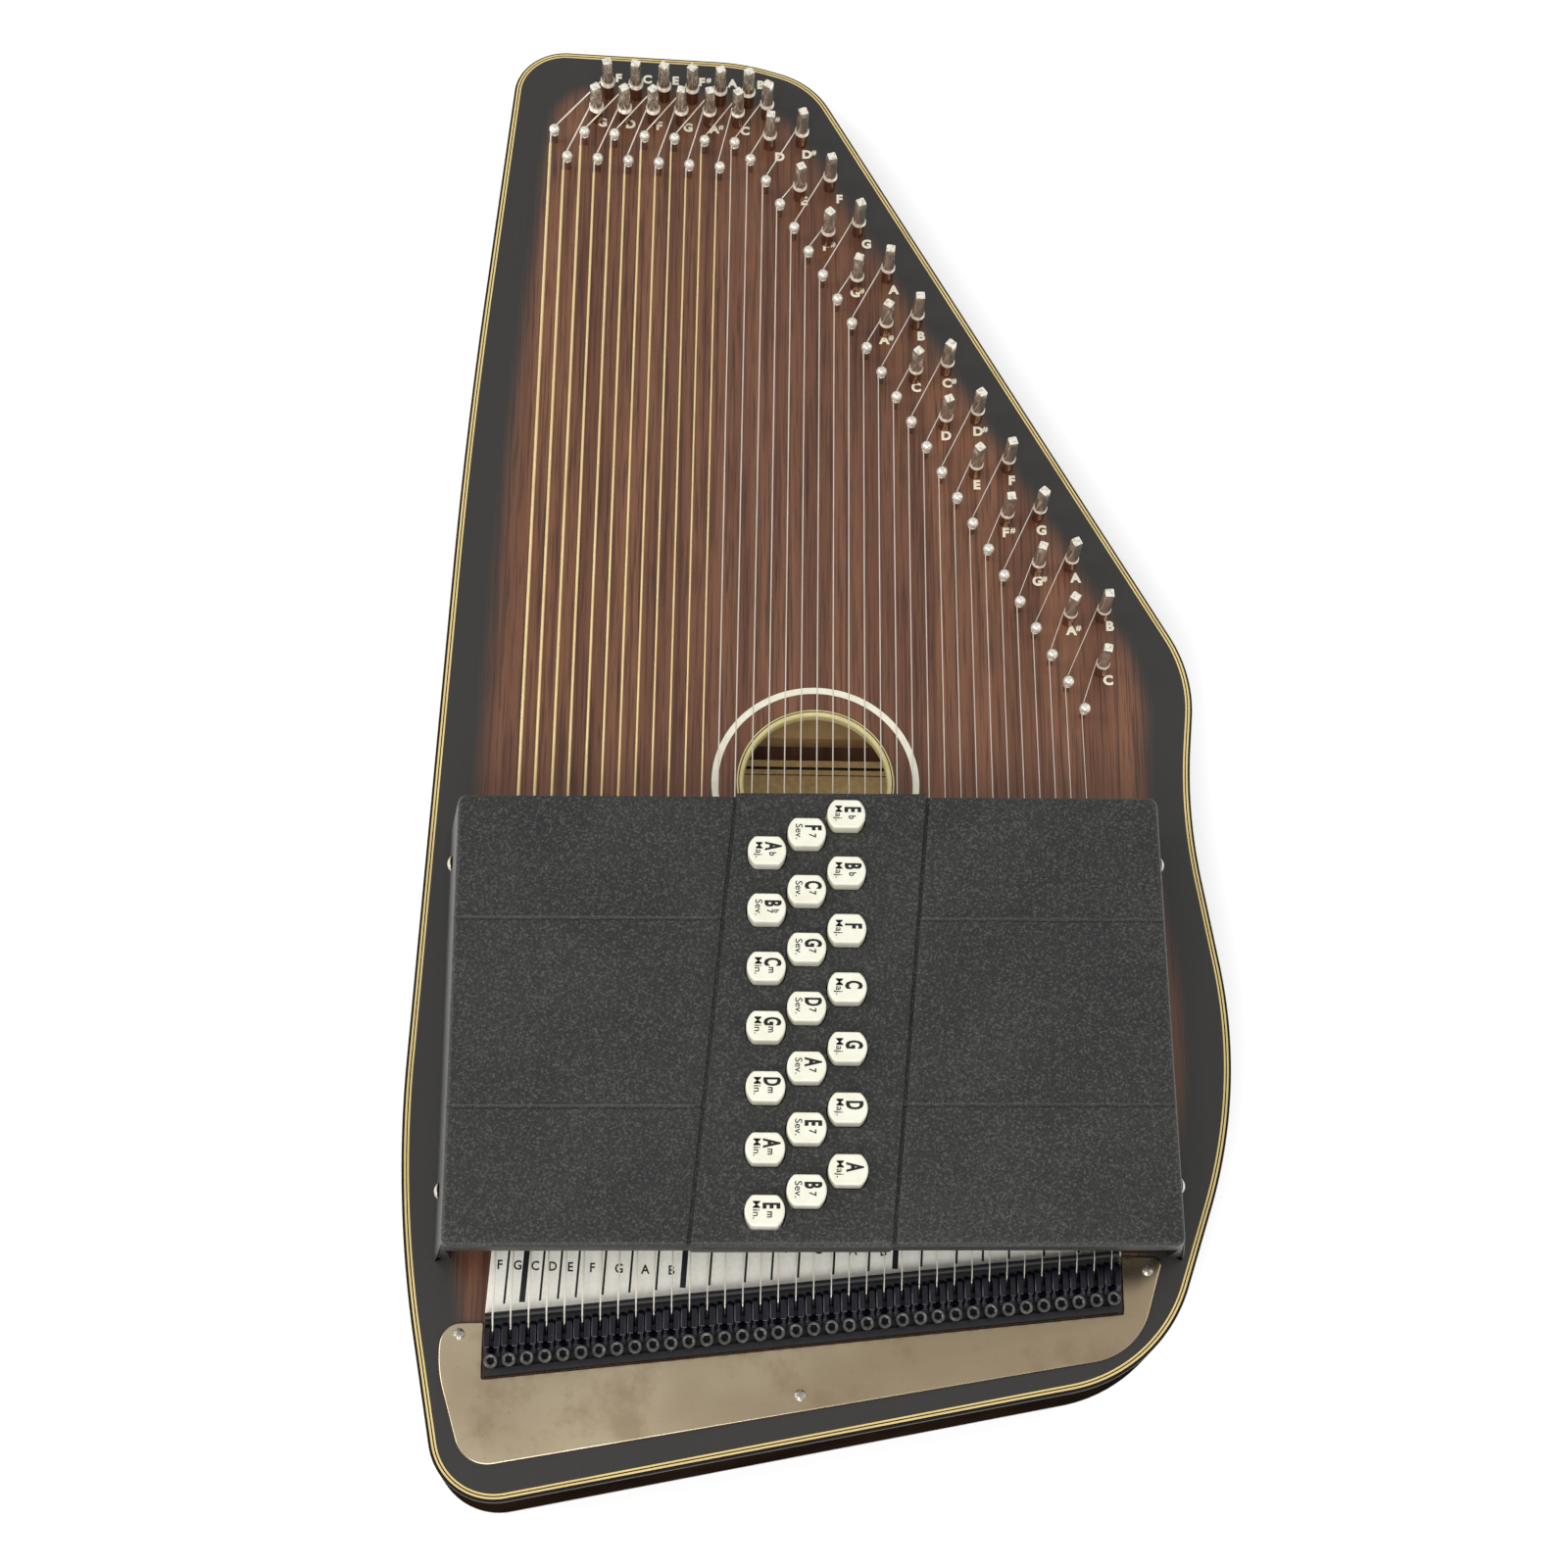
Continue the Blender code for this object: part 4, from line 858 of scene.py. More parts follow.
def soundboard_points():
    """Return rows from the binding to the hole on top, and back below."""
    outer = inset(body_outline, BINDING_WIDTH + HAIR)
    spoke = outer - HOLE_CENTRE
    direction = spoke / np.linalg.norm(spoke, axis=1)[:, None]
    inner = np.array(HOLE_CENTRE) + direction * (HOLE_RADIUS + HAIR)
    share = (np.arange(BOARD_ROWS) / (BOARD_ROWS - 1)) ** 1.7
    top = outer + share[:, None, None] * (inner - outer)
    heights = np.r_[np.full(BOARD_ROWS, TOP), [TOP - BOARD + HAIR] * 2]
    return at_heights(np.concatenate((top, top[[-1, 0]])), heights)


board_points = soundboard_points()
board = surface("soundboard_lacquered", board_points, wrap=(True, True), capped=False)
tag(board, "near_edge", near_edge(board_points.reshape(-1, 3)))
dress("soundboard_lacquered", board, SOUNDBOARD_LACQUER, "soundboard")

# %% [markdown]
# ## Binding, sides and back
#
# These are profiles carried round the outline: the binding with its rounded outer edge, the side
# walls, and the back board, whose lower edge is eased so that it sits kindly on a lap.

# %% Binding
BINDING_EDGE = 1.0 * MM


def binding_profile():
    """Return distance from the edge and height: along the top, round the edge and down."""
    edge = fillet((BINDING_EDGE, TOP - BINDING_EDGE), BINDING_EDGE, 90, 180, 7)
    top = [(distance * MM, TOP) for distance in np.linspace(BINDING_WIDTH / MM, 1.1, 16)]
    bottom = TOP - BOARD + HAIR
    return [(BINDING_WIDTH, bottom)] + top + edge + [(0, bottom)]


profile = binding_profile()
binding = surface("binding", rings(body_outline, profile), wrap=(True, True), capped=False)
from_edge = [distance / MM for distance, _ in profile]
tag(binding, "from_edge", np.repeat(from_edge, OUTLINE_POINTS))
dress("binding", binding, BINDING, "edge_binding")

# %% Pin block and rails
RAIL_WIDTH = 16 * MM
BLOCK_START = (58 * MM, 22 * MM)  # inward from the outline at the waist, in X and Y
BLOCK_MIDDLE = (-46 * MM, 230 * MM)  # inner side of the block where it bends
BLOCK_END = (-128 * MM, 240 * MM)
SIDE_LOW, SIDE_HIGH = BOARD + HAIR, TOP - BOARD - HAIR


def nearest(corner):
    """Return the number of the outline's point that is nearest to a corner."""
    apart = body_outline - np.array(BODY_CORNERS[corner][:2])
    return int((apart**2).sum(1).argmin())


def side_length(start, end, inner):
    """Return a closed length of side wall: the outline from start to end, and inner points."""
    outer = body_outline[start:end + 1]
    corners = np.stack((outer, outer, inner, inner), 1)
    heights = np.broadcast_to([SIDE_LOW, SIDE_HIGH, SIDE_HIGH, SIDE_LOW], (len(outer), 4))
    return np.concatenate((corners, heights[..., None]), -1)


treble_end, slant_end, head_end = map(nearest, (WAIST_CORNER, SLANT_CORNER, HEAD_CORNER))
block_start = body_outline[treble_end] - BLOCK_START
numbers = np.arange(treble_end, head_end + 1)
block_inner = np.stack([
    np.interp(numbers, (treble_end, slant_end, head_end), places)
    for places in zip(block_start, BLOCK_MIDDLE, BLOCK_END)
], -1)
block = surface("pin_block_lacquered", side_length(treble_end, head_end, block_inner))
dress("pin_block_lacquered", block, SIDE_LACQUER, "pin_block")

body_outline = np.roll(body_outline, -head_end, 0)
treble_end = (treble_end - head_end) % OUTLINE_POINTS
rail_inner = inset(body_outline, RAIL_WIDTH)[:treble_end + 1]
rails = surface("rails_lacquered", side_length(0, treble_end, rail_inner))
dress("rails_lacquered", rails, SIDE_LACQUER, "body_rails")

# %% Back board
BACK_EDGE = 1.2 * MM
BACK_INNER = 30 * MM  # from the edge to where the flat faces are closed in one piece
back_profile = (
    [(BACK_INNER, 0), (BACK_EDGE, 0)]
    + fillet((BACK_EDGE, BACK_EDGE), BACK_EDGE, 270, 180, 6)
    + [(0, BOARD), (BACK_INNER, BOARD)]
)
back = surface("back_lacquered", rings(body_outline, back_profile))
dress("back_lacquered", back, BACK_LACQUER, "back_board")

# %% [markdown]
# ## Sound hole
#
# Round the hole lie a moulded lining, which rolls over the board's edge, and farther out a cream
# ring let into the board. Both are turned. A paper label lies inside, on the back board; it shows
# only ruled lines, and a brace of bare wood crosses beside it.

# %% Rings of the sound hole
RING_SIDES = 96


def turned_ring(name, profile, finish):
    """Add a closed profile of radius and height, carried round the middle of the sound hole."""
    points = moved(turned(profile, RING_SIDES), HOLE_CENTRE)
    ring = surface(name, points, wrap=(True, True), capped=False)
    piece(name, ring, finish, slot="edge_binding")


LINING_INNER, LINING_OUTER, LINING_TOP = 28.0 * MM, 30.7 * MM, TOP + 0.9 * MM
LINING_ROUND, LINING_EASE = 1.2 * MM, 0.3 * MM  # radii of its inner and outer edges
lining_profile = (
    [(LINING_OUTER, TOP + HAIR), (LINING_OUTER, LINING_TOP - LINING_EASE)]
    + fillet((LINING_OUTER - LINING_EASE, LINING_TOP - LINING_EASE), LINING_EASE, 20, 90, 4)
    + fillet((LINING_INNER + LINING_ROUND, LINING_TOP - LINING_ROUND), LINING_ROUND, 90, 180, 7)
    + [(LINING_INNER, TOP - BOARD), (HOLE_RADIUS - HAIR, TOP - BOARD)]
    + [(HOLE_RADIUS - HAIR, TOP + HAIR)]
)
turned_ring("hole_lining", lining_profile, HOLE_LINING)
ROSETTE_INNER, ROSETTE_OUTER = 37.9 * MM, 40.5 * MM
low, high = TOP + HAIR, TOP + 0.06 * MM
rosette_profile = [(ROSETTE_INNER, low), (ROSETTE_INNER, high)]
rosette_profile += [(ROSETTE_OUTER, high), (ROSETTE_OUTER, low)]
turned_ring("rosette", rosette_profile, ROSETTE_INLAY)

# %% Label and brace
LABEL_LOW, LABEL_HIGH = (-47 * MM, -62 * MM), (41 * MM, -14 * MM)
BRACE_LOW, BRACE_HIGH = (-110 * MM, -8 * MM), (112 * MM, 4 * MM)
BRACE_DEPTH = 9 * MM
RULE_Y = np.array((-18, -20.5, -34, -47, -58)) * MM
RULE_WIDTH = np.array((1.2, 0.4, 0.4, 0.4, 1.2)) * MM
RULE_LENGTH = 82 * MM
label_rest = BOARD + HAIR
label_face = label_rest + 0.15 * MM
label = surface("label", boxes((*LABEL_LOW, label_rest), (*LABEL_HIGH, label_face)))
piece("label", label, LABEL_PAPER, slot="soundboard")

rule_low = np.stack((np.full(5, LABEL_LOW[0] + 3 * MM), RULE_Y, np.full(5, label_face)), -1)
rule_size = np.stack((np.full(5, RULE_LENGTH), RULE_WIDTH, np.full(5, 0.03 * MM)), -1)
rules = surface("label_rules", boxes(rule_low, rule_low + rule_size))
piece("label_rules", rules, BLACK_INK, slot="soundboard")

brace_box = boxes((*BRACE_LOW, label_rest), (*BRACE_HIGH, label_rest + BRACE_DEPTH))
piece("brace", surface("brace", brace_box), BARE_MAPLE, slot="pin_block")

# %% [markdown]
# ## Tuning pins and guide pins
#
# A tuning pin is turned steel whose head is forged square for a wrench. Its section goes from a
# circle to a square, so the radius is a blend: at each height it is a share of the circle's and a
# share of the square's. A guide pin is a nail with a ball head, a collar and a thin neck, which
# the string leans on. One pin is worked out, and one array holds all 36.

# %% Tuning pins
PIN_SIDES = 32
PIN_RADIUS = 2.5 * MM
# Each row: height over the soundboard, radius or half width, and how square the section is.
PIN_ROWS = np.array([
    (-6, 2.5, 0),
    (0, 2.5, 0),
    (12.4, 2.5, 0),
    (13.4, 2.42, 0.25),
    (14.6, 2.2, 0.7),
    (16, 2.02, 0.92),
    (22.9, 1.85, 0.94),
    (23.25, 1.66, 0.9),
    (23.4, 1.2, 0.8),
])


def tuning_pin_points():
    """Return rows of blends between a circle and a square: radius = half / max(|cos|, |sin|)."""
    angle = full_circle(PIN_SIDES) + TAU / PIN_SIDES / 2
    square = 1 / np.maximum(np.abs(np.cos(angle)), np.abs(np.sin(angle)))
    height, size, squareness = PIN_ROWS.T[:, :, None]
    radius = size * MM * (1 + squareness * (square - 1))
    return at_heights(polar(np.minimum(radius, PIN_RADIUS), angle), height * MM + TOP)


def turned_about(points, angles):
    """Return one copy of the points for each angle, turned about Z."""
    x, y = rotated(points[..., 0], points[..., 1], angles[:, None, None])
    return np.stack((x, y, np.broadcast_to(points[..., 2], x.shape)), -1)


pin_turns = np.random.default_rng(36).uniform(0, TAU / 4, STRINGS)
pins = moved(turned_about(tuning_pin_points(), pin_turns), tuning_pins)
pins = surface("tuning_pins_nickel", pins)
dress("tuning_pins_nickel", pins, TUNING_PIN_NICKEL, "tuning_pins")

# %% Guide pins
GUIDE_SIDES = 20
GUIDE_NECK = 1.1 * MM
GUIDE_TOP = 11 * MM
GUIDE_BALL = 2.3 * MM
GUIDE_COLLAR = 1.75 * MM
GUIDE_DEPTH = 4 * MM  # in the board


def guide_pin_profile():
    """Return radius and height of a ball head, its collar, the neck and a foot in the board."""
    ball = fillet((0, GUIDE_TOP - GUIDE_BALL), GUIDE_BALL, 82, -52, 11)
    collar = [(1.45 * MM, 6.75 * MM), (GUIDE_COLLAR, 6.6 * MM), (GUIDE_COLLAR, GUIDE_HEAD_LOW)]
    neck = [(GUIDE_NECK, GUIDE_HEAD_LOW - 0.2 * MM), (GUIDE_NECK, -GUIDE_DEPTH)]
    return [(radius, height + TOP) for radius, height in ball + collar + neck]


guides = moved(turned(guide_pin_profile(), GUIDE_SIDES), guide_pins)
guides = surface("guide_pins_nickel", guides)
dress("guide_pins_nickel", guides, GUIDE_PIN_NICKEL, "guide_pins")

# %% [markdown]
# ## Strings
#
# Each string starts at a ball under its claw, climbs over the saddle rod, runs level to its guide
# pin, bends down there, meets its tuning pin on a tangent and winds round it. All 36 paths are one
# array: the points of every stretch are worked out for all strings together. A tube then follows
# them. Twelve bass strings are wound with bronze between the saddle and the guides, and the mesh
# stores where, and how far along the string a point is, so the finish can draw the turns.

# %% Radii and the straight run
def shared(start, end, count):
    return np.linspace(start, end, count) * MM


wire_radius = np.r_[shared(0.34, 0.26, WOUND_STRINGS), shared(0.27, 0.16, STRINGS - WOUND_STRINGS)]
wrap_radius = np.r_[shared(0.6, 0.34, WOUND_STRINGS), wire_radius[WOUND_STRINGS:]]
SADDLE_RADIUS = 1.3 * MM
SADDLE_OFFSET = 16 * MM
SADDLE_HEIGHT = TOP + 6.4 * MM
BALL_START, BALL_LENGTH = 5.2 * MM, 2.8 * MM
BALL_HEIGHT = TOP + 3.5 * MM
WRAP_START_Y = -200 * MM
WRAP_END_BELOW_GUIDE = 7 * MM
WRAP_TAPER = (1.5 * MM, 0.8 * MM)  # length over which the bronze thins out at each end

string_level = TOP + STRING_HEIGHT
saddle_top = SADDLE_HEIGHT + SADDLE_RADIUS + wire_radius
saddle = np.stack((anchor_x, tuner_y + SADDLE_OFFSET, saddle_top), -1)
guide_side = guide_pins - np.stack((GUIDE_NECK + HAIR + wire_radius, np.zeros(STRINGS)), -1)
guide = np.c_[guide_side, np.full(STRINGS, string_level)]
run = guide - saddle
run_length = np.linalg.norm(run, axis=1)
print("sounding lengths from", run_length.max(), "to", run_length.min())


# %% The coil on a tuning pin
COIL_TURNS = 3.3
COIL_LOW = TOP + 8.0 * MM
COIL_STEPS = 50
COIL_PITCH = 2.15  # wire radii that it rises in a turn
TUCK_START = 0.96  # share of the coil after which its end goes into the pin
TUCK_DEPTH = 0.75  # share of the radius


def coil_points():
    """Return the coils: from the tangent of a circle, turning right round the pin and rising.

    A line that leaves the guide at angle a touches the circle where a = angle to the pin +
    arcsin(radius / distance), and the touching point lies a quarter turn left of that line.
    """
    around = PIN_RADIUS + wire_radius
    to_pin = tuning_pins - guide[:, :2]
    distance = np.linalg.norm(to_pin, axis=1)
    leaving = np.arctan2(to_pin[:, 1], to_pin[:, 0]) + np.arcsin(around / distance)
    share = np.linspace(0, 1, COIL_STEPS)
    angle = (leaving + TAU / 4)[:, None] - share * COIL_TURNS * TAU
    tuck = np.clip((share - TUCK_START) / (1 - TUCK_START), 0, 1)
    flat = tuning_pins[:, None] + polar(around[:, None] * (1 - TUCK_DEPTH * tuck), angle)
    height = COIL_LOW + share * COIL_TURNS * COIL_PITCH * wire_radius[:, None]
    return np.concatenate((flat, height[..., None]), -1)


coils = coil_points()
print("coils of", COIL_TURNS, "turns:", coils.shape)

# %% Paths of all strings
# The ball: each row is a distance along the string from its start, and a radius, in millimetres.
BALL_ROWS = ((-0.3, 0.7), (0, 1.5), (0.35, 1.9), (2.45, 1.9), (2.8, 1.5), (3.1, 0.6))
# Behind the saddle's top: X, Y and Z from it, where the string climbs and where it comes level.
SADDLE_CLIMB = np.array(((0, -1.4, -0.9), (0, -0.5, -0.1), (0, 0.6, 0))) * MM


def along_run(distance):
    """Return the points at a distance from the saddle, or from the guide where it is negative."""
    share = np.where(distance < 0, 1 + distance / run_length, distance / run_length)
    return saddle + run * share[:, None]


def string_paths():
    """Return every string's points and the radius and wound share at each."""
    ball = np.c_[anchor_x, tuner_y + BALL_START, np.full(STRINGS, BALL_HEIGHT)]
    steps = []
    for offset, radius in BALL_ROWS:
        steps.append((ball + (0, offset * MM, 0), np.full(STRINGS, radius * MM), 0))
    knot = ball + (0, BALL_LENGTH + 1.4 * MM, 0.3 * MM)
    climb, *level = (saddle + offset for offset in SADDLE_CLIMB)
    steps.append((knot, wire_radius * 1.3, 0))
    steps.append(((knot + climb) / 2, wire_radius * 1.2, 0))
    for point in (climb, *level):
        steps.append((point, wire_radius, 0))
    slope = run[:, 1] / run_length
    wrap_start = (WRAP_START_Y - saddle[:, 1]) / slope
    wrap_end = run_length - WRAP_END_BELOW_GUIDE / slope
    for distance, radius, wound in (
        (wrap_start - WRAP_TAPER[0], wire_radius, 0),
        (wrap_start, wrap_radius, 1),
        ((wrap_start + wrap_end) / 2, wrap_radius, 1),
        (wrap_end, wrap_radius, 1),
        (wrap_end + WRAP_TAPER[1], wire_radius, 0),
        (run_length - 0.6 * MM, wire_radius, 0),
        (run_length, wire_radius, 0),
    ):
        steps.append((along_run(distance), radius, wound))
    steps.append(((guide * 3 + coils[:, 0]) / 4, wire_radius, 0))
    places, radii, wound = zip(*steps)
    points = np.concatenate((np.stack(places, 1), coils), 1)
    coil_radii = np.repeat(wire_radius[:, None], COIL_STEPS, 1)
    radii = np.concatenate((np.stack(radii, 1), coil_radii), 1)
    return points, radii, np.r_[wound, np.zeros(COIL_STEPS)]


paths, path_radii, wound_share = string_paths()
print("points along a string:", paths.shape[1])

# %% Tubes along the paths
def tubes(points, radii, sides):
    """Return rings round each path: radius * (cos * sideways + sin * upward), across the path."""
    ahead = np.gradient(points, axis=-2)
    ahead /= np.linalg.norm(ahead, axis=-1, keepdims=True)
    sideways = np.cross(ahead, (0, 0, 1))
    sideways /= np.linalg.norm(sideways, axis=-1, keepdims=True)
    upward = np.cross(sideways, ahead)
    cos, sin = polar(1, full_circle(sides)).T[..., None]
    across = cos * sideways[..., None, :] + sin * upward[..., None, :]
    return points[..., None, :] + radii[..., None, None] * across


def string_set(name, node, chosen, sides):
    """Add a set of strings, with the distance along each and its wound share on the mesh."""
    points, radii = paths[chosen], path_radii[chosen]
    mesh = surface(name, tubes(points, radii, sides))
    steps = np.linalg.norm(np.diff(points, axis=1), axis=-1)
    along = np.concatenate((np.zeros((len(points), 1)), np.cumsum(steps, 1)), 1)
    wound = np.broadcast_to(wound_share if node == "wound_strings" else 0, along.shape)
    tag(mesh, "along", np.repeat(along, sides))
    tag(mesh, "wound", np.repeat(wound, sides))
    dress(name, mesh, STRING_WIRE, node)


string_set("bass_strings", "wound_strings", slice(0, WOUND_STRINGS), sides=10)
string_set("treble_strings", "plain_strings", slice(WOUND_STRINGS, STRINGS), sides=6)

# %% Saddle rod
ROD_SIDES = 28
TUNER_HALF = STRINGS * STRING_PITCH / 2 - 0.4 * MM


def saddle_line():
    """Return the line that follows the fine tuner from its bass end to its treble end."""
    across = np.array((-TUNER_HALF, TUNER_HALF))
    y = TUNER_Y + TUNER_SLOPE * across + SADDLE_OFFSET
    return np.stack((STRING_CENTRE_X + across, y, np.full(2, SADDLE_HEIGHT)), -1)


rod = surface("saddle_rod", tubes(saddle_line(), np.full(2, SADDLE_RADIUS), ROD_SIDES))
piece("saddle_rod", rod, BLACK_PLASTIC, slot="plain_strings")

# %% [markdown]
# ## Fine tuner
#
# At the tail each string's ball sits under a claw. A socket screw presses on the claw's heel and
# so tunes the string. A claw is a side view carried across its width; its slot for the string is
# cut once, and the finished claw is copied in a row. A screw's socket is six-sided inside a round
# head, so its radius changes from a circle to a hexagon: apothem / cos(angle from a flat's middle).

# %% Claws
CLAW_HALF = 2.9 * MM
CLAW_EASE = 0.3 * MM  # of its flanks, where the side view is drawn in
CLAW_DRAWN_IN = 0.93
CLAW_SIDE_VIEW = np.array([  # distance along the string, height over the board, corner's radius
    (1.75, 3.5, 0.2),
    (3.3, 3.5, 0.1),
    (4.6, 5.75, 0.3),
    (13.6, 5.3, 0.3),
    (11.8, 8.2, 0.8),
    (4.7, 8.2, 0.7),
    (2.95, 5.5, 0.5),
    (1.75, 5.5, 0.2),
]) * MM
CLAW_SLOT = np.array([(-0.85, 4.2, 3), (0.85, 16, 9)]) * MM  # lowest and highest corner


def claw_mesh():
    """Return a claw: its side view carried across, drawn in a little at both flanks."""
    view = arcs(CLAW_SIDE_VIEW, 5)
    middle = view.mean(0)
    across = np.array((-CLAW_HALF, CLAW_EASE - CLAW_HALF, CLAW_HALF - CLAW_EASE, CLAW_HALF))
    shrink = np.array((CLAW_DRAWN_IN, 1, 1, CLAW_DRAWN_IN))
    flat = middle + (view - middle) * shrink[:, None, None]
    x = np.broadcast_to(across[:, None, None], flat.shape[:2] + (1,))
    body = surface("claw", np.concatenate((x, flat), -1))
    return cut(body, surface("slot", boxes(*CLAW_SLOT)))


tuner_places = np.c_[anchor_x, tuner_y, np.full(STRINGS, TOP)]
claws = repeated("claws", claw_mesh(), tuner_places)
dress("claws", claws, BLACK_GLOSS, "fine_tuner_claws", crease=28)

# %% Socket screws
SCREW_SIDES = 36
# Each row: height over the soundboard, radius or half width, and how six-sided the section is.
SCREW_ROWS = np.array([
    (1.9, 1.4, 0),
    (5.8, 1.4, 0),
    (5.8, 2.3, 0),
    (6.0, 2.5, 0),
    (8.3, 2.5, 0),
    (8.6, 2.25, 0),
    (8.6, 1.65, 0.6),
    (8.45, 1.45, 1),
    (6.9, 1.4, 1),
    (6.7, 0.3, 1),
])


def socket_screw_points():
    """Return rows from the shank's foot over the head and down into the six-sided socket."""
    angle = full_circle(SCREW_SIDES)
    hexagon = math.cos(TAU / 12) / np.cos((angle % (TAU / 6)) - TAU / 12)
    height, size, six_sided = SCREW_ROWS.T[:, :, None]
    radius = size * MM * (1 + six_sided * (hexagon / hexagon.min() * 0.9 - 1))
    return at_heights(polar(radius, angle), height * MM)


turns = np.random.default_rng(21).uniform(0, TAU / 6, STRINGS)
screws = moved(turned_about(socket_screw_points(), turns), tuner_places[:, :2], TOP)
screws = surface("fine_tuning_screws", screws)
dress("fine_tuning_screws", screws, BLACK_OXIDE, "fine_tuner_screws")

# %% [markdown]
# ## Tail plate
#
# A polished plate wraps the fine tuner on three sides. It is its outline, with eased corners,
# carried up through a small bevel.

# %% Tail plate and its screws
PLATE_CORNERS = np.array([
    (-120.9, -246.3, 1),
    (-136.2, -246.9, 10),
    (-136.8, -263.0, 60),
    (-126.1, -297.8, 12),
    (114.0, -255.6, 26),
    (124.5, -220.6, 2.5),
    (109.1, -220.0, 1),
    (109.1, -241.1, 0.6),
    (-120.9, -266.5, 0.6),
]) * MM
PLATE_LOW, PLATE_HIGH, PLATE_BEVEL = TOP + HAIR, TOP + 1.5 * MM, 0.45 * MM

plate_profile = (
    [(PLATE_BEVEL / 2, PLATE_LOW), (0, PLATE_LOW + PLATE_BEVEL / 2)]
    + fillet((PLATE_BEVEL, PLATE_HIGH - PLATE_BEVEL), PLATE_BEVEL, 180, 90, 5)
)
plate = surface("tail_plate_polished", rings(arcs(PLATE_CORNERS, 12), plate_profile))
dress("tail_plate_polished", plate, POLISHED_PLATE, "tail_plate")

SCREW_HEAD_SIDES = 28
SCREW_RIM = 0.25 * MM  # height of a screw head's edge


def slotted_screw(radius, dome, slot_width):
    """Return a domed screw head standing on zero, with a straight slot across it."""
    reach = (radius**2 + dome**2) / (2 * dome)
    across = radius * np.sin(np.linspace(0, TAU / 4, 8))
    height = np.sqrt(reach**2 - across**2) - (reach - dome) + SCREW_RIM
    profile = [(HAIR, height[0])] + list(zip(across[1:], height[1:])) + [(radius, 0)]
    head = surface("screw", turned(profile, SCREW_HEAD_SIDES))
    slot = boxes((-radius * 2, -slot_width / 2, dome * 0.4), (radius * 2, slot_width / 2, dome * 3))
    return cut(head, surface("slot", slot))


PLATE_SCREWS = np.array([(-129.6, -250.7), (118.6, -225.2), (-7.7, -271.2)]) * MM
PLATE_SLOT = 0.5 * MM
places = np.c_[PLATE_SCREWS, np.full(3, PLATE_HIGH - 0.05 * MM)]
across_slot = boxes((-PLATE_SLOT / 2, -5 * MM, 0.3 * MM), (PLATE_SLOT / 2, 5 * MM, 3 * MM))
cross = cut(slotted_screw(2.1 * MM, 0.7 * MM, PLATE_SLOT), surface("slot", across_slot))
piece("plate_screws", repeated("plate_screws", cross, places), SCREW_NICKEL, slot="tail_plate")

# %% [markdown]
# ## String chart
#
# In front of the tuner a strip of felt carries a printed card: a line between each pair of
# strings, a thick one after each scale's last note, and the note's letter beside its string. The
# letters are the plain names of the notes, as numbers are on a dial.

# %% Felt strip and card
CARD_SLOT = "chord_button_Eb"
CHART_X = (-120.6 * MM, 109.0 * MM)
CHART_FRONT = (-243.2 * MM, -220.2 * MM)  # lower edge at both ends
CHART_BACK = -200 * MM
BACK_CORNER = 2.6 * MM  # the card's bass end leans in by this much at the back
FELT_SHOWS = 2.4 * MM  # in front of the card
FELT_HEIGHT = 2.0 * MM
CARD_HEIGHT = 0.3 * MM


def strip(name, front, low, high):
    """Return a flat strip from the slanted front edge to a straight back edge."""
    corners = np.array([
        (CHART_X[0], CHART_FRONT[0] - front),
        (CHART_X[1], CHART_FRONT[1] - front),
        (CHART_X[1], CHART_BACK),
        (CHART_X[0] + BACK_CORNER, CHART_BACK),
    ])
    return surface(name, at_heights(np.stack([corners] * 2), (low, high)))


felt_top = TOP + FELT_HEIGHT
card_top = felt_top + CARD_HEIGHT
felt = strip("felt_strip", FELT_SHOWS, TOP + HAIR, felt_top)
piece("felt_strip", felt, FELT_STRIP, slot="plain_strings")
card = strip("chart_card", 0, felt_top + HAIR, card_top)
piece("chart_card", card, CHART_PAPER, slot=CARD_SLOT)

# %% Ruled lines of the card
OCTAVE = "C C# D D# E F F# G G# A A# B".split()
NOTES = "F G C D E F F# G A A# B".split() + OCTAVE * 2 + ["C"]
SCALE_ENDS = (1, 10, 22, 34)
CARD_LEAN = 0.06  # of its lines and its bass edge, X for each Y
CARD_SHIFT = (0.5 * MM, 1.8 * MM)  # of its lines from the strings, at its bass and treble ends
RULE_FRONT, RULE_BACK = 2.4 * MM, 3 * MM  # from the card's edges to its lines
THICK_RULE, THIN_RULE = 2.1, 0.8
natural = np.array([index for index, note in enumerate(NOTES) if "#" not in note])
line_place = (natural[1:] + natural[:-1]) / 2
line_thick = np.isin(natural[:-1], SCALE_ENDS)


def card_x(place, y):
    """Return X on the card for a place counted in strings, leaning with the card's lines."""
    x = np.interp(place, np.arange(STRINGS), anchor_x)
    front = np.interp(x, CHART_X, CHART_FRONT)
    return x + np.interp(x, CHART_X, CARD_SHIFT) + CARD_LEAN * (y - front - 7 * MM)


def ruled_lines():
    """Return thin slanted bars midway between the strings of neighbouring plain notes."""
    half = np.where(line_thick, THICK_RULE, THIN_RULE) * MM / 2
    front = np.interp(card_x(line_place, CHART_BACK), CHART_X, CHART_FRONT) + RULE_FRONT
    back = np.full(len(line_place), CHART_BACK + RULE_BACK)
    ends = ((front, -half), (front, half), (back, half), (back, -half))
    corners = [np.stack((card_x(line_place, y) + side, y), -1) for y, side in ends]
    flat = np.repeat(np.stack(corners, 1)[:, None], 2, 1)
    return at_heights(flat, (card_top, card_top + 0.03 * MM))


piece("chart_lines", surface("chart_lines", ruled_lines()), BLACK_INK, slot=CARD_SLOT)

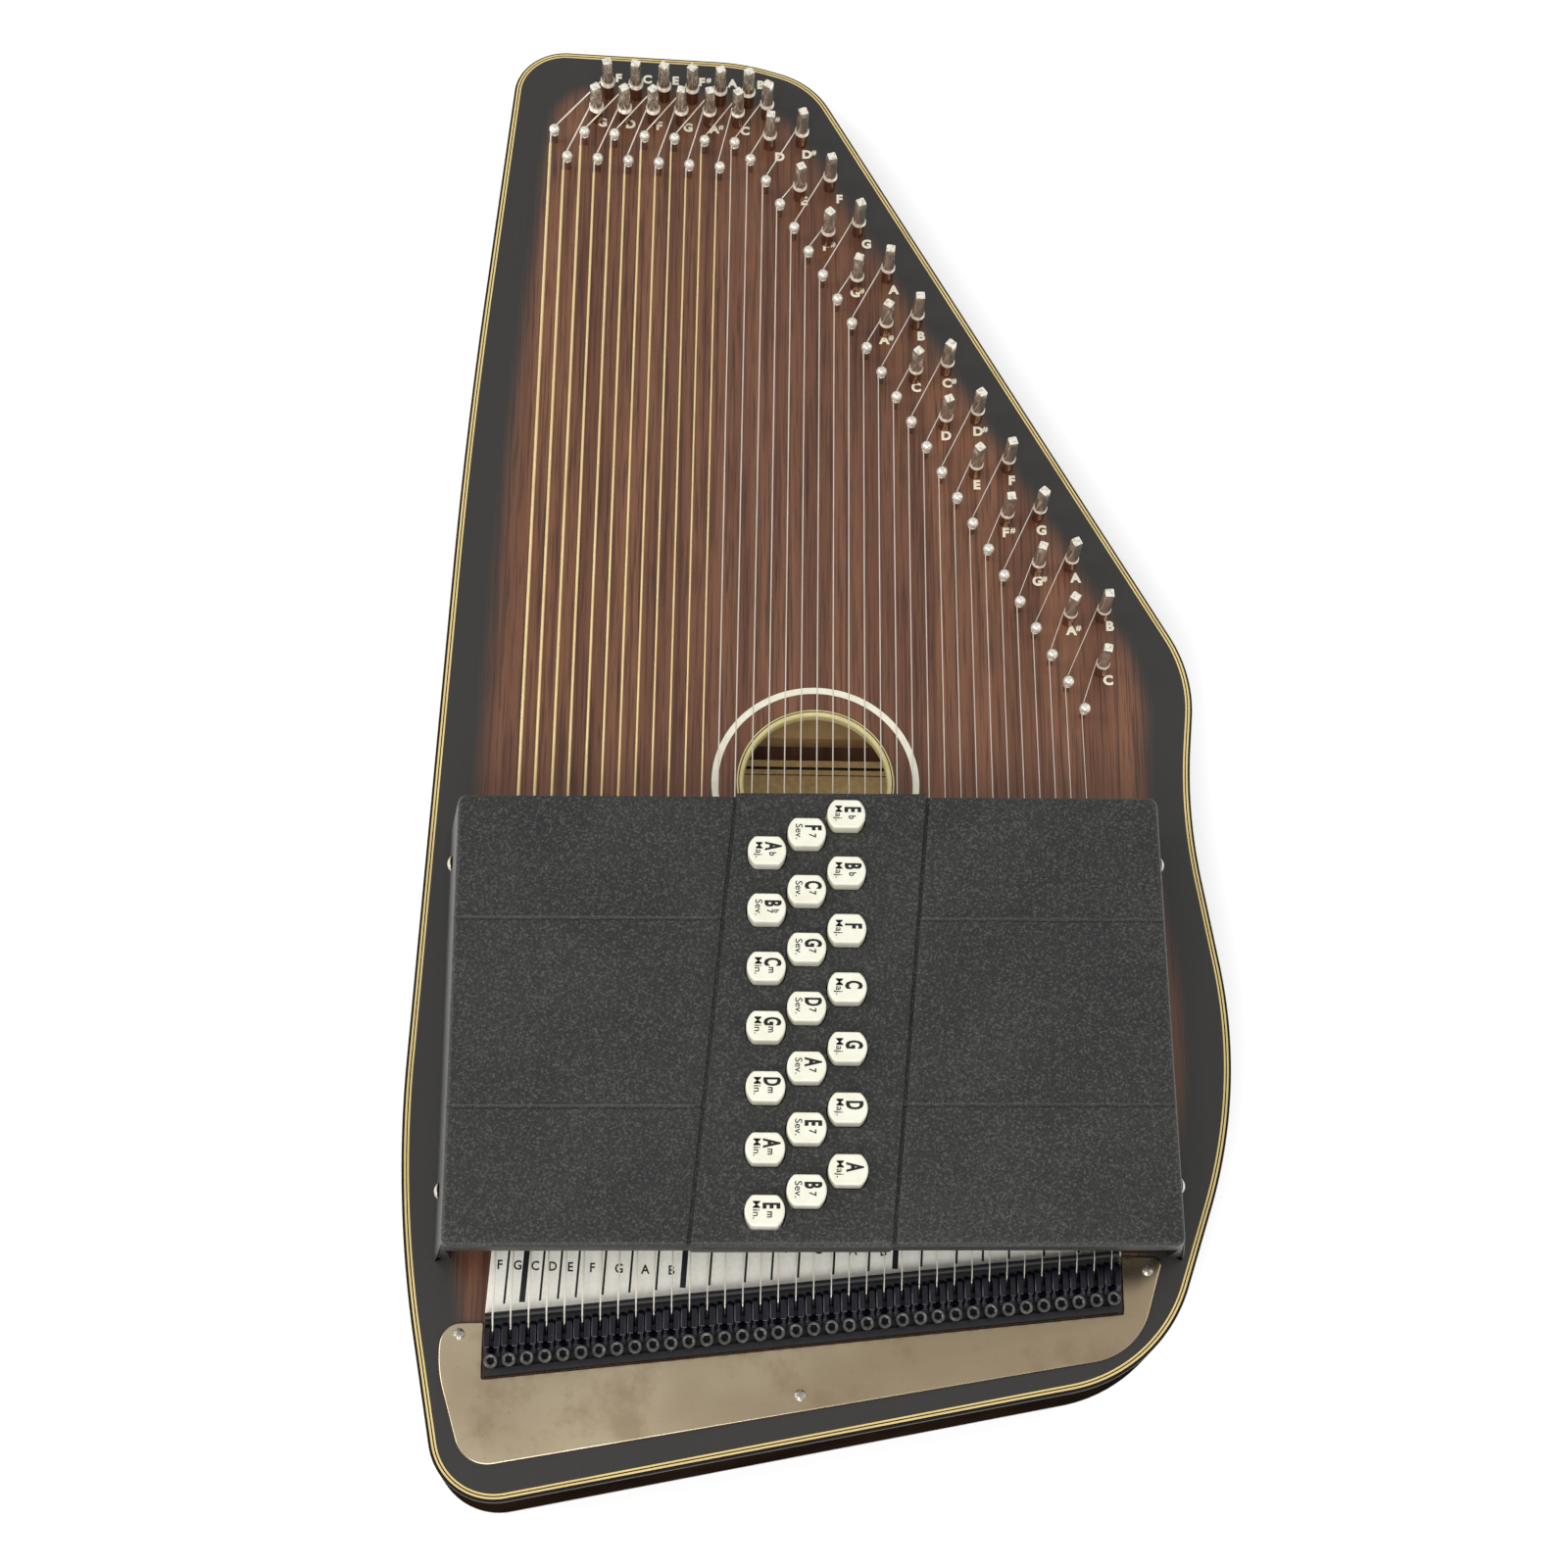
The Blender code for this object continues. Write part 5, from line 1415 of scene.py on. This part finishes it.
# %% [markdown]
# ## Lettering
#
# Words are text objects made into meshes once each, at a large size, and then scaled, turned and
# set in place as arrays. Tuning pins carry the name of their note on the board beside them.

# %% Words as arrays
def word(text, bolder):
    """Return a word's points and faces: capitals near 1 high, its foot on Y = 0, 1 thick."""
    curve = bpy.data.curves.new("word", "FONT")
    curve.body = text
    curve.size = 1.0
    curve.offset = bolder
    curve.extrude = 0.5
    curve.resolution_u = 3
    made = linked("word", curve)
    mesh = evaluated(made)
    bpy.data.objects.remove(made)
    mend = bmesh.new()
    mend.from_mesh(mesh)
    bmesh.ops.remove_doubles(mend, verts=mend.verts, dist=0.0005)
    mend.to_mesh(mesh)
    mend.free()
    arrays = arrays_of(mesh)
    bpy.data.meshes.remove(mesh)
    return arrays


CAPITAL = np.ptp(word("E", 0)[0][:, 1])
INK = 0.04 * MM
word_store = {}


def set_word(text, place, height, turn=0.0, narrow=1.0, bolder=0.0):
    """Return a word's points and faces, its middle at place, its capitals height tall.

    It is turned in degrees. Each word is made once and kept in the store.
    """
    if (text, bolder) not in word_store:
        word_store[text, bolder] = word(text, bolder)
    points, faces = word_store[text, bolder]
    scale = height / CAPITAL
    x = (points[:, 0] - (points[:, 0].min() + points[:, 0].max()) / 2) * scale * narrow
    y = (points[:, 1] - CAPITAL / 2) * scale
    x, y = rotated(x, y, math.radians(turn))
    return np.stack((x, y, np.where(points[:, 2] > 0, INK, 0)), -1) + place, faces


print("capital height of the font:", CAPITAL)

# %% Notes on the card
LETTER_ROWS = (-225.8 * MM, -218.0 * MM, -210.4 * MM, -203.0 * MM)
LETTER_STARTS = (0, 11, 23, 35)
LETTER_FALL = 0.14 * MM  # for each string


def chart_letters():
    """Return each plain note in the middle of its cell; each scale's row stands farther back."""
    edges = np.r_[-0.5, line_place, STRINGS - 0.5]
    middle = (edges[1:] + edges[:-1]) / 2
    words = []
    for index, place in zip(natural, middle):
        scale = np.searchsorted(SCALE_ENDS[1:], index)
        y = LETTER_ROWS[scale] - LETTER_FALL * (place - LETTER_STARTS[scale])
        x = card_x(place, y) + 0.3 * MM
        words.append(set_word(NOTES[index], (x, y, card_top), 3.2 * MM, narrow=0.92, bolder=0.02))
    return words


piece("chart_letters", joined("chart_letters", chart_letters()), BLACK_INK, slot=CARD_SLOT)

# %% Notes beside the tuning pins
PIN_LETTER, SHARP_SIGN = 3.8 * MM, 2.3 * MM  # heights
SHARP_OFFSET = np.array((2.9, 1.1)) * MM  # of a sharp sign from its letter
LETTER_MAKES_ROOM = np.array((0.9, 0)) * MM  # to the left, where a sharp sign follows


def pin_letter_offsets():
    """Return each letter's place from its pin: beside it at the head's back row, else below."""
    offsets = np.zeros((STRINGS, 2))
    offsets[0:12:2] = np.c_[np.linspace(4.3, 5.5, 6), np.linspace(8.8, 10.3, 6)]
    offsets[1:12:2] = np.c_[np.linspace(2.3, 3.3, 6), np.linspace(-1.6, -3.4, 6)]
    offsets[12:14] = ((2.8, -2.4), (4.6, -5.1))
    row_number = np.arange(11)
    outer_x = np.interp(row_number, (0, 1, 5, 7, 8, 10), (3.5, 4.4, 1.4, 2.1, 1.4, 3.5))
    outer_y = np.interp(row_number, (0, 5, 8, 10), (-5.5, -5.1, -5.7, -3.5))
    inner_x = np.interp(row_number, (0, 1, 4, 8, 10), (2.2, 0.4, 0.7, 1.2, 3.1))
    inner_y = np.interp(row_number, (0, 1, 6, 10), (-1.6, -2.2, -4.9, -3.5))
    offsets[14::2] = np.c_[outer_x, outer_y]
    offsets[15::2] = np.c_[inner_x, inner_y]
    return offsets * MM


def pin_letters():
    """Return the notes of all pins, with a smaller raised sharp sign."""
    words = []
    for note, place in zip(NOTES, tuning_pins + pin_letter_offsets()):
        sharp = "#" in note
        place = place - LETTER_MAKES_ROOM * sharp
        words.append(set_word(note[0], (*place, TOP + HAIR), PIN_LETTER, bolder=0.05))
        if sharp:
            place = (*place + SHARP_OFFSET, TOP + HAIR)
            words.append(set_word("#", place, SHARP_SIGN, bolder=0.03))
    return words


letters = joined("pin_letters", pin_letters())
piece("pin_letters", letters, CREAM_PAINT, slot="edge_binding")

# %% [markdown]
# ## Cover
#
# The cover is one moulding: two side panels and a raised middle panel between slanting seams, with
# two grooves across each side panel, and walls that lean out to the board. Its top is a grid whose
# lines follow the seams, so a seam stays sharp without a very fine mesh. The corners of the grid
# are drawn in to round ones by the map from a square to a disc: x' = x * sqrt(1 - y^2 / 2). From
# its rim, rings go round the edge, down the wall, under and up inside. The whole moulding is
# worked out square and then turned by under a degree, as it sits on the instrument. The strings'
# windows and the buttons' openings are cut from it.

# %% Sizes of the cover
COVER_X = (-135.5 * MM, 125.6 * MM)
COVER_Y = (-224.7 * MM, -55.2 * MM)
COVER_MIDDLE_Y = np.mean(COVER_Y)
COVER_TURN = 0.012  # radians, about the cover's middle
COVER_MIDDLE = np.array((-5.6, -140.0)) * MM
COVER_TOP = 69 * MM
COVER_FLARE = np.array((5.6, 0.8)) * MM
TAIL_LEAN = -3.0 * MM  # of the tail end's foot, inward
COVER_SEAT = TOP + 0.4 * MM
COVER_WALL = 2.2 * MM
EDGE_ROUND = 1.6 * MM
RIM_CORNER = 1.6 * MM
TOP_OVERSIZE = 0.4 * MM  # of the top past the walls, at the bass and treble ends
INNER_CHAMFER = (1.5 * MM, 1.2 * MM)  # inside, down the wall and in from the rim
PANEL_RAISE = 0.9 * MM
PANEL_PROUD = (0.6 * MM, 1.4 * MM)  # of the middle panel's tail and head edges
SEAMS = (  # X and Y at the head and at the tail, on the bass side and on the treble side
    ((-31.8 * MM, -55.4 * MM), (-48.8 * MM, -225.3 * MM)),
    ((39.1 * MM, -54.9 * MM), (22.3 * MM, -224.3 * MM)),
)
SEAM_DEPTH, SEAM_WIDTH, SEAM_FOOT = 0.7 * MM, 0.42 * MM, 0.75 * MM
PANEL_RISE = 0.9 * MM  # width of the slope up to the middle panel
SEAM_BAND = 2 * MM  # beside a seam, the grid runs along with it
GROOVES = ((-104.0 * MM, -174.9 * MM), (-104.1 * MM, -174.2 * MM))
GROOVE_DEPTH, GROOVE_WIDTH = 0.5 * MM, 0.38 * MM
LIP_BESIDE, LIP_HEIGHT = 1.1 * MM, 0.35  # of a groove; the height is a share of its depth


def seam_x(seam, y):
    (x0, y0), (x1, y1) = seam
    return x0 + (x1 - x0) * (y - y0) / (y1 - y0)


def askew(points):
    """Return points turned about the cover's middle, as the cover sits."""
    flat = points[..., :2] - COVER_MIDDLE
    flat = np.stack(rotated(flat[..., 0], flat[..., 1], COVER_TURN), -1) + COVER_MIDDLE
    return np.concatenate((flat, points[..., 2:]), -1)


def smooth(value):
    """Return a soft step from 0 to 1: 3 t^2 - 2 t^3."""
    share = np.clip(value, 0, 1)
    return share * share * (3 - 2 * share)


# %% Grid lines of the top
GRID_STEP = 4 * MM


def grid_lines(*places):
    """Return the places and, between them, an even run of lines about a grid step apart."""
    fixed = np.unique(np.concatenate(places).round(6))
    runs = []
    for start, end in zip(fixed, fixed[1:]):
        count = max(2, math.ceil((end - start) / GRID_STEP) + 1)
        runs.append(np.linspace(start, end, count)[:-1])
    return np.concatenate(runs + [fixed[-1:]])


def fine_about(place):
    """Return places close together on both sides of a seam or groove."""
    return np.linspace(place - 1.5 * MM, place + 1.5 * MM, 11)


low_x = COVER_X[0] - TOP_OVERSIZE + EDGE_ROUND
high_x = COVER_X[1] + TOP_OVERSIZE - EDGE_ROUND
low_y, high_y = COVER_Y[0] + EDGE_ROUND, COVER_Y[1] - EDGE_ROUND
corner_lines = np.linspace(0, RIM_CORNER, 5)
far_corner = corner_lines[::-1]

groove_lines = map(fine_about, sorted(sum(GROOVES, ())))
line_y = grid_lines(low_y + corner_lines, *groove_lines, high_y - far_corner)
seam_middles = [seam_x(seam, COVER_MIDDLE_Y) for seam in SEAMS]
line_x = grid_lines(low_x + corner_lines, *map(fine_about, seam_middles), high_x - far_corner)
print("cover's grid:", len(line_x), "by", len(line_y))

# %% The top as a height field
def drawn_in(x, y):
    """Return a grid's X and Y with its corners made round: x' = x * sqrt(1 - y^2 / 2)."""
    corner_x = np.where(x < low_x + RIM_CORNER, low_x + RIM_CORNER, high_x - RIM_CORNER)
    corner_y = np.where(y < low_y + RIM_CORNER, low_y + RIM_CORNER, high_y - RIM_CORNER)
    u, v = (x - corner_x) / RIM_CORNER, (y - corner_y) / RIM_CORNER
    in_corner = (np.abs(u) <= 1.001) & (np.abs(v) <= 1.001)
    in_corner &= np.sign(u) == np.sign(corner_x)
    in_corner &= np.sign(v) == np.sign(corner_y - COVER_MIDDLE_Y)
    round_x = corner_x + u * np.sqrt(1 - np.clip(v, -1, 1) ** 2 / 2) * RIM_CORNER
    round_y = corner_y + v * np.sqrt(1 - np.clip(u, -1, 1) ** 2 / 2) * RIM_CORNER
    return np.where(in_corner, round_x, x), np.where(in_corner, round_y, y)


def cover_top_points():
    """Return the top: lines follow the seams, corners are drawn in, and the relief is height."""
    x, y = np.meshgrid(line_x, line_y)
    left, right = seam_middles
    ends = (low_x + RIM_CORNER, left - SEAM_BAND, left + SEAM_BAND)
    ends += (right - SEAM_BAND, right + SEAM_BAND, high_x - RIM_CORNER)
    shares = ((0, 1, 1, 0, 0, 0), (0, 0, 0, 1, 1, 0))
    leaned = x
    for seam, middle, share in zip(SEAMS, seam_middles, shares):
        leaned = leaned + (seam_x(seam, y) - middle) * np.interp(x, ends, share)
    x, y = drawn_in(leaned, y)
    return np.stack((x, y, COVER_TOP + cover_relief(x, y)), -1)


def middle_panel(x, y):
    """Return 1 on the raised middle panel and 0 on the side panels."""
    inside = np.minimum(x - seam_x(SEAMS[0], y), seam_x(SEAMS[1], y) - x)
    return smooth(inside / PANEL_RISE + 0.5)


def bell(distance, width):
    return np.exp(-((distance / width) ** 2))


def cover_relief(x, y):
    """Return height over the top: the middle panel's raise, less bell-shaped seams and grooves."""
    raised = middle_panel(x, y)
    height = PANEL_RAISE * raised
    for seam, side in zip(SEAMS, (-1, 1)):
        height = height - SEAM_DEPTH * bell((x - seam_x(seam, y)) * side - SEAM_FOOT, SEAM_WIDTH)
    for grooves, side in zip(GROOVES, (x < 0, x > 0)):
        for groove in grooves:
            lip = bell(y - groove - LIP_BESIDE, GROOVE_WIDTH) * LIP_HEIGHT
            depth = bell(y - groove, GROOVE_WIDTH) - lip
            height = height - GROOVE_DEPTH * depth * side * (1 - raised)
    return height


top_points = cover_top_points()
print("cover's top from", top_points[..., 2].min(), "to", top_points[..., 2].max())

# %% The rim, walls and inside
def rim_numbers(rows, columns):
    """Return the numbers of a grid's outermost points, once round."""
    number = np.arange(rows * columns).reshape(rows, columns)
    return np.concatenate((number[0, :-1], number[:-1, -1], number[-1, :0:-1], number[:0:-1, 0]))


def cover_mesh():
    """Return the closed moulding before its windows and openings are cut."""
    rows, columns = top_points.shape[:2]
    flat = top_points.reshape(-1, 3)
    rim = rim_numbers(rows, columns)
    edge = flat[rim]
    along = np.roll(edge, -1, 0)[:, :2] - np.roll(edge, 1, 0)[:, :2]
    outward = np.stack((along[:, 1], -along[:, 0]), -1) / np.linalg.norm(along, axis=1)[:, None]
    reach = np.where(edge[:, 1] < COVER_MIDDLE_Y, *PANEL_PROUD)
    proud = (middle_panel(edge[:, 0], edge[:, 1]) * reach)[:, None] * np.abs(outward)
    lift = edge[:, 2] - COVER_TOP

    def ring(out, height, proud_share=0, lift_share=0):
        """The rim moved outward, with shares of the middle panel's overhang and relief."""
        spot = edge[:, :2] + outward * out + np.sign(outward) * proud * proud_share
        return np.c_[spot, height + lift * lift_share]

    levels = []
    for angle in np.radians((18, 36, 54, 72, 90)):
        out = EDGE_ROUND * math.sin(angle)
        down = EDGE_ROUND * (1 - math.cos(angle))
        levels.append(ring(out, COVER_TOP - down, math.sin(angle), math.cos(angle)))
    lean = np.where(outward < -0.5, (COVER_FLARE[0], TAIL_LEAN), COVER_FLARE)
    lean = lean * (1 - EDGE_ROUND / (COVER_TOP - COVER_SEAT))
    foot = np.c_[levels[-1][:, :2] + outward * lean, np.full(len(edge), COVER_SEAT)]
    inner_foot = foot - np.c_[outward * COVER_WALL, np.zeros(len(edge))]
    inner_wall = ring(EDGE_ROUND - COVER_WALL, COVER_TOP - COVER_WALL - INNER_CHAMFER[0])
    inner_top = ring(-INNER_CHAMFER[1], COVER_TOP - COVER_WALL)
    levels += [foot, inner_foot, inner_wall, inner_top]

    count, around = len(flat), len(rim)
    loops = [rim] + [count + around * level + np.arange(around) for level in range(len(levels))]
    faces = grid_faces(rows, columns, False, False).tolist()
    for upper, lower in zip(loops, loops[1:]):
        faces += np.stack((upper, lower, np.roll(lower, -1), np.roll(upper, -1)), -1).tolist()
    faces.append(loops[-1].tolist())
    return mesh_of("cover", askew(np.concatenate([flat] + levels)), faces)


# %% Buttons' places and outline
CAP_RADIUS = 7.1 * MM
CAP_HALF = 5.6 * MM
CAP_CLEARANCE = 0.5 * MM
CAP_SIDES = 72


def cap_outline(grow):
    """Return a circle whose Y is cut off at two flats, grown by a distance."""
    angle = full_circle(CAP_SIDES)
    half = (CAP_HALF + grow) / np.maximum(np.abs(np.sin(angle)), 1e-6)
    return polar(np.minimum(CAP_RADIUS + grow, half), angle)


cap_boxes = np.array([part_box("chord_button_" + chord) for chord in CHORDS])
cap_places = cap_boxes.mean(1)[:, :2]
CAP_FOOT = cap_boxes[0, 0, 2]
CAP_TOP = cap_boxes[0, 1, 2] - 2 * HAIR
print("buttons from", cap_places[0], "to", cap_places[-1])

# %% Cut the windows and openings
OPENING_HEIGHTS = (60 * MM, 72 * MM)
WINDOW_X = (COVER_X[0] + 0.3 * MM, COVER_X[1] - 0.3 * MM)
WINDOW_Y = (COVER_Y[0] - 20 * MM, COVER_Y[1] + 20 * MM)
WINDOW_Z = (TOP - 5 * MM, TOP + 22.5 * MM)
opening = at_heights(np.stack([cap_outline(CAP_CLEARANCE)] * 2), OPENING_HEIGHTS)
window = askew(boxes(*zip(WINDOW_X, WINDOW_Y, WINDOW_Z)))
cover = cut(cover_mesh(), surface("openings", moved(opening, cap_places)))
cover = cut(cover, surface("windows", window))
dress("cover_moulding", cover, LEATHER_GRAIN, "chord_bar_cover", crease=40)

# %% Side screws of the cover
SIDE_SCREW_HEIGHT = 14 * MM  # over the soundboard
SIDE_SCREW_Y = (np.array((-75.4, -200.5)) * MM, np.array((-74.9, -198.6)) * MM)


def side_screws():
    """Return the four round-headed screws, turned to stand square on the leaning walls."""
    wall_height = COVER_TOP - TOP
    lean = math.atan2(COVER_FLARE[0], wall_height)
    points, faces = arrays_of(slotted_screw(3.1 * MM, 1.6 * MM, 0.7 * MM))
    x, y, z = points.T
    up, out = rotated(y, z, lean)
    foot_reach = COVER_FLARE[0] * (1 - SIDE_SCREW_HEIGHT / wall_height)
    screws = []
    for side, wall_x, rows_y in zip((-1, 1), COVER_X, SIDE_SCREW_Y):
        wall = wall_x + side * foot_reach
        for row_y in rows_y:
            spot = np.stack((wall + side * out, x + row_y, up + TOP + SIDE_SCREW_HEIGHT), -1)
            screws.append((askew(spot), faces))
    return screws


piece("cover_screws", joined("cover_screws", side_screws()), SCREW_NICKEL, slot="chord_bar_cover")

# %% [markdown]
# ## Chord buttons
#
# A button is a round cap with two flats and an eased rim, on a stem that stands on its bar. The
# lettering is a bold condensed chord letter with a small suffix, and a word in thin type beside
# it, all read from the treble side. It rides with the button.

# %% Caps
STEM_HALF = np.array((5.0, 2.3)) * MM
STEM_LENGTH = 4.2 * MM
CAP_ROUND = 0.9 * MM  # height of the eased rim
CAP_DRAWN_IN = 0.1  # share by which the rim goes in


def button_points():
    """Return rows up the stem, out under the cap, up its side, round the rim and in."""
    outline = cap_outline(0)
    under = CAP_FOOT + STEM_LENGTH
    stem = STEM_HALF / (CAP_RADIUS, CAP_HALF)
    rows = [(stem, CAP_FOOT), (stem, under), (0.97, under), (1, under + 0.25 * MM)]
    rows.append((1, CAP_TOP - CAP_ROUND))
    for angle in np.radians((20, 40, 60, 80)):
        share = 1 - CAP_DRAWN_IN * (1 - math.cos(angle))
        rows.append((share, CAP_TOP - CAP_ROUND * (1 - math.sin(angle))))
    rows += [(0.86, CAP_TOP), (0.8, CAP_TOP - 0.06 * MM), (0.3, CAP_TOP - 0.1 * MM)]
    return at_heights(np.stack([outline * size for size, _ in rows]), [z for _, z in rows])


button = button_points()
for chord, place in zip(CHORDS, cap_places):
    cap = surface("cap_" + chord, moved(button, place))
    dress("cap_" + chord, cap, IVORY, "chord_button_" + chord, body="chord_" + chord, crease=50)

# %% Lettering of the caps
KIND_WORDS = {"": "Maj.", "b": "Maj.", "7": "Sev.", "b7": "Sev.", "m": "Min."}
READ_FROM_TREBLE = -90  # degrees
# Each row: X, Y and Z from the middle of the cap's top and the height of capitals, all in
# millimetres, then the share of the font's width and how much bolder than the font.
ROOT_ALONE = (2.35, 0.8, -0.06, 5.6, 0.54, 0.04)
ROOT = (2.35, 1.6, -0.06, 5.6, 0.54, 0.04)
SUFFIX = (2.1, -1.5, -0.05, 2.4, 0.9, 0.02)
UPPER_SUFFIX = (3.6, -1.4, -0.05, 1.9, 1.0, 0.02)
LOWER_SUFFIX = (1.2, -1.4, -0.05, 2.1, 1.0, 0.02)
KIND = (-2.9, 0.1, -0.06, 2.5, 1.08, 0.006)


def cap_words(chord, place):
    """Return the letter and suffixes on the treble half and the kind of chord on the bass half."""
    root, suffix = chord[0], chord[1:]
    words = [(root, ROOT if suffix else ROOT_ALONE)]
    if suffix == "b7":
        words += [("b", UPPER_SUFFIX), ("7", LOWER_SUFFIX)]
    elif suffix:
        words.append((suffix, SUFFIX))
    words.append((KIND_WORDS[suffix], KIND))
    middle = np.array((*place, CAP_TOP))
    return [
        set_word(text, middle + np.array(row[:3]) * MM, row[3] * MM, READ_FROM_TREBLE, *row[4:])
        for text, row in words
    ]


for chord, place in zip(CHORDS, cap_places):
    name = "letters_" + chord
    ink = joined(name, cap_words(chord, place))
    piece(name, ink, BLACK_INK, body="chord_" + chord, slot="chord_button_" + chord)

# %% [markdown]
# ## Springs and the pieces under the cover
#
# Under each bar's two ends stands a coil spring. Its solid is a plain cylinder, so here it is a
# wire on a helix. Bars, holders and the tuner's rail have the right shapes already: they keep
# their solids and get their finish.

# %% Coil springs
SPRING_TURNS = 6.5
SPRING_STEPS, SPRING_SIDES = 110, 6
SPRING_WIRE = 0.3 * MM
SPRING_X = (-123.5 * MM, 112.1 * MM)
SPRING_LOW, SPRING_HIGH = 40.3 * MM, 51.15 * MM
SPRING_COIL = 1.9 * MM
CLOSED_ENDS = 0.45  # share of the soft step in a spring's rise
SPRING_NODES = ["bar_springs_bass", "bar_springs_treble"]


def spring_points():
    """Return a helix: (cos, sin) of the turn, and a height that lingers at both closed ends."""
    share = np.linspace(0, 1, SPRING_STEPS)
    rise = smooth(share) * CLOSED_ENDS + share * (1 - CLOSED_ENDS)
    low, high = SPRING_LOW + SPRING_WIRE, SPRING_HIGH - SPRING_WIRE
    return np.c_[polar(SPRING_COIL, share * SPRING_TURNS * TAU), low + (high - low) * rise]


coil = tubes(spring_points(), np.full(SPRING_STEPS, SPRING_WIRE), SPRING_SIDES)
for chord, (_, y) in zip(CHORDS, cap_places):
    name = "springs_" + chord
    pair = surface(name, moved(coil, [(x, y) for x in SPRING_X]))
    spring = piece(name, pair, SCREW_NICKEL, slot=SPRING_NODES[0], replaces=SPRING_NODES)
    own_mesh(spring)

# %% Finish of the solids that stay
stays = {"chord_bar_" + chord: BAR_AND_FELT for chord in CHORDS}
for node in ("bar_holder_bass", "bar_holder_treble", "fine_tuner_rail"):
    stays[node] = BLACK_PLASTIC
for node, finish in stays.items():
    mesh = frame["nodes"][node].data
    mesh.materials.clear()
    mesh.materials.append(finish)
print("bars, holders and rail finished")

# %% [markdown]
# ## Stage
#
# The autoharp lies on a white floor under soft light, seen by a camera that stands over its tail
# and looks down. The floor glows a little, more so in a mirror-like surface, and keeps a soft
# shadow.

# %% Floor
FLOOR_HALF = 6.0
FLOOR_GLOW = 0.85  # in a mirror-like surface
GLOW_SHARE = 0.5  # of it everywhere else


def floor_finish():
    """Near white and matte, with a glow that is stronger where a mirror-like surface sees it."""
    finish = Finish("floor", Roughness=0.9, Emission_Strength=1.0)
    seen = finish.node("ShaderNodeLightPath").outputs
    glow = Value(finish, seen["Is Glossy Ray"]).larger(GLOW_SHARE) * FLOOR_GLOW
    finish.colour((236, 236, 236), (finish.noise(3.0, 2.0), (240, 240, 240)))
    finish.set(Emission_Color=glow)
    return finish.material


floor_points = FLOOR_HALF * np.array([[(-1, -1), (1, -1)], [(-1, 1), (1, 1)]])
floor_mesh = surface("floor", at_heights(floor_points, (-HAIR, -HAIR)), (False, False), False)
floor_mesh.materials.append(floor_finish())
linked("floor", floor_mesh)

# %% Lamps and world
def lamp(name, place, size, power):
    """Add a soft rectangular lamp that faces the middle of the instrument's back."""
    data = bpy.data.lights.new(name, "AREA")
    data.shape = "RECTANGLE"
    data.size, data.size_y = size
    data.energy = power
    made = linked(name, data)
    made.location = place
    made.rotation_euler = (-Vector(place)).to_track_quat("-Z", "Y").to_euler()


lamp("tail_panel", (-0.4, -1.9, 2.3), (1.6, 1.2), 32)
lamp("treble_panel", (2.0, 0.1, 1.7), (1.2, 1.2), 7)
lamp("bass_panel", (-2.0, 0.1, 1.6), (1.2, 1.2), 18)

ROOM_LIGHT, SEEN_ROOM = 0.55, 1.0  # strength on the object, and where the camera sees the room
world = bpy.data.worlds.new("pale_room")
bpy.context.scene.world = world
world.use_nodes = True
nodes, link = world.node_tree.nodes, world.node_tree.links.new
background = nodes["Background"]
background.inputs["Color"].default_value = (1, 1, 1, 1)
strength = nodes.new("ShaderNodeMapRange")
strength.inputs["To Min"].default_value = ROOM_LIGHT
strength.inputs["To Max"].default_value = SEEN_ROOM
link(nodes.new("ShaderNodeLightPath").outputs["Is Camera Ray"], strength.inputs["Value"])
link(strength.outputs["Result"], background.inputs["Strength"])
bpy.context.scene.view_settings.view_transform = "Standard"

# %% Camera
# The camera's place and its three axes were found by fitting the photograph's strings and pins.
CAMERA_PLACE = np.array((-46.84, -419.31, 954.66)) * MM + (0, 0, TOP)
CAMERA_AHEAD = np.array((0.031663, 0.371910, -0.927729))
CAMERA_RIGHT = np.array((0.999360, 0.003675, 0.035582))
CAMERA_LENS = 60.76

camera_data = bpy.data.cameras.new("camera")
camera_data.lens = CAMERA_LENS
camera_data.sensor_width = 36
camera = linked("camera", camera_data)
upward = np.cross(CAMERA_RIGHT, CAMERA_AHEAD)
turn = np.stack((CAMERA_RIGHT, upward, -CAMERA_AHEAD), 1)
camera.matrix_world = Matrix(np.block([[turn, CAMERA_PLACE[:, None]], [np.zeros(3), 1]]).tolist())
bpy.context.scene.camera = camera
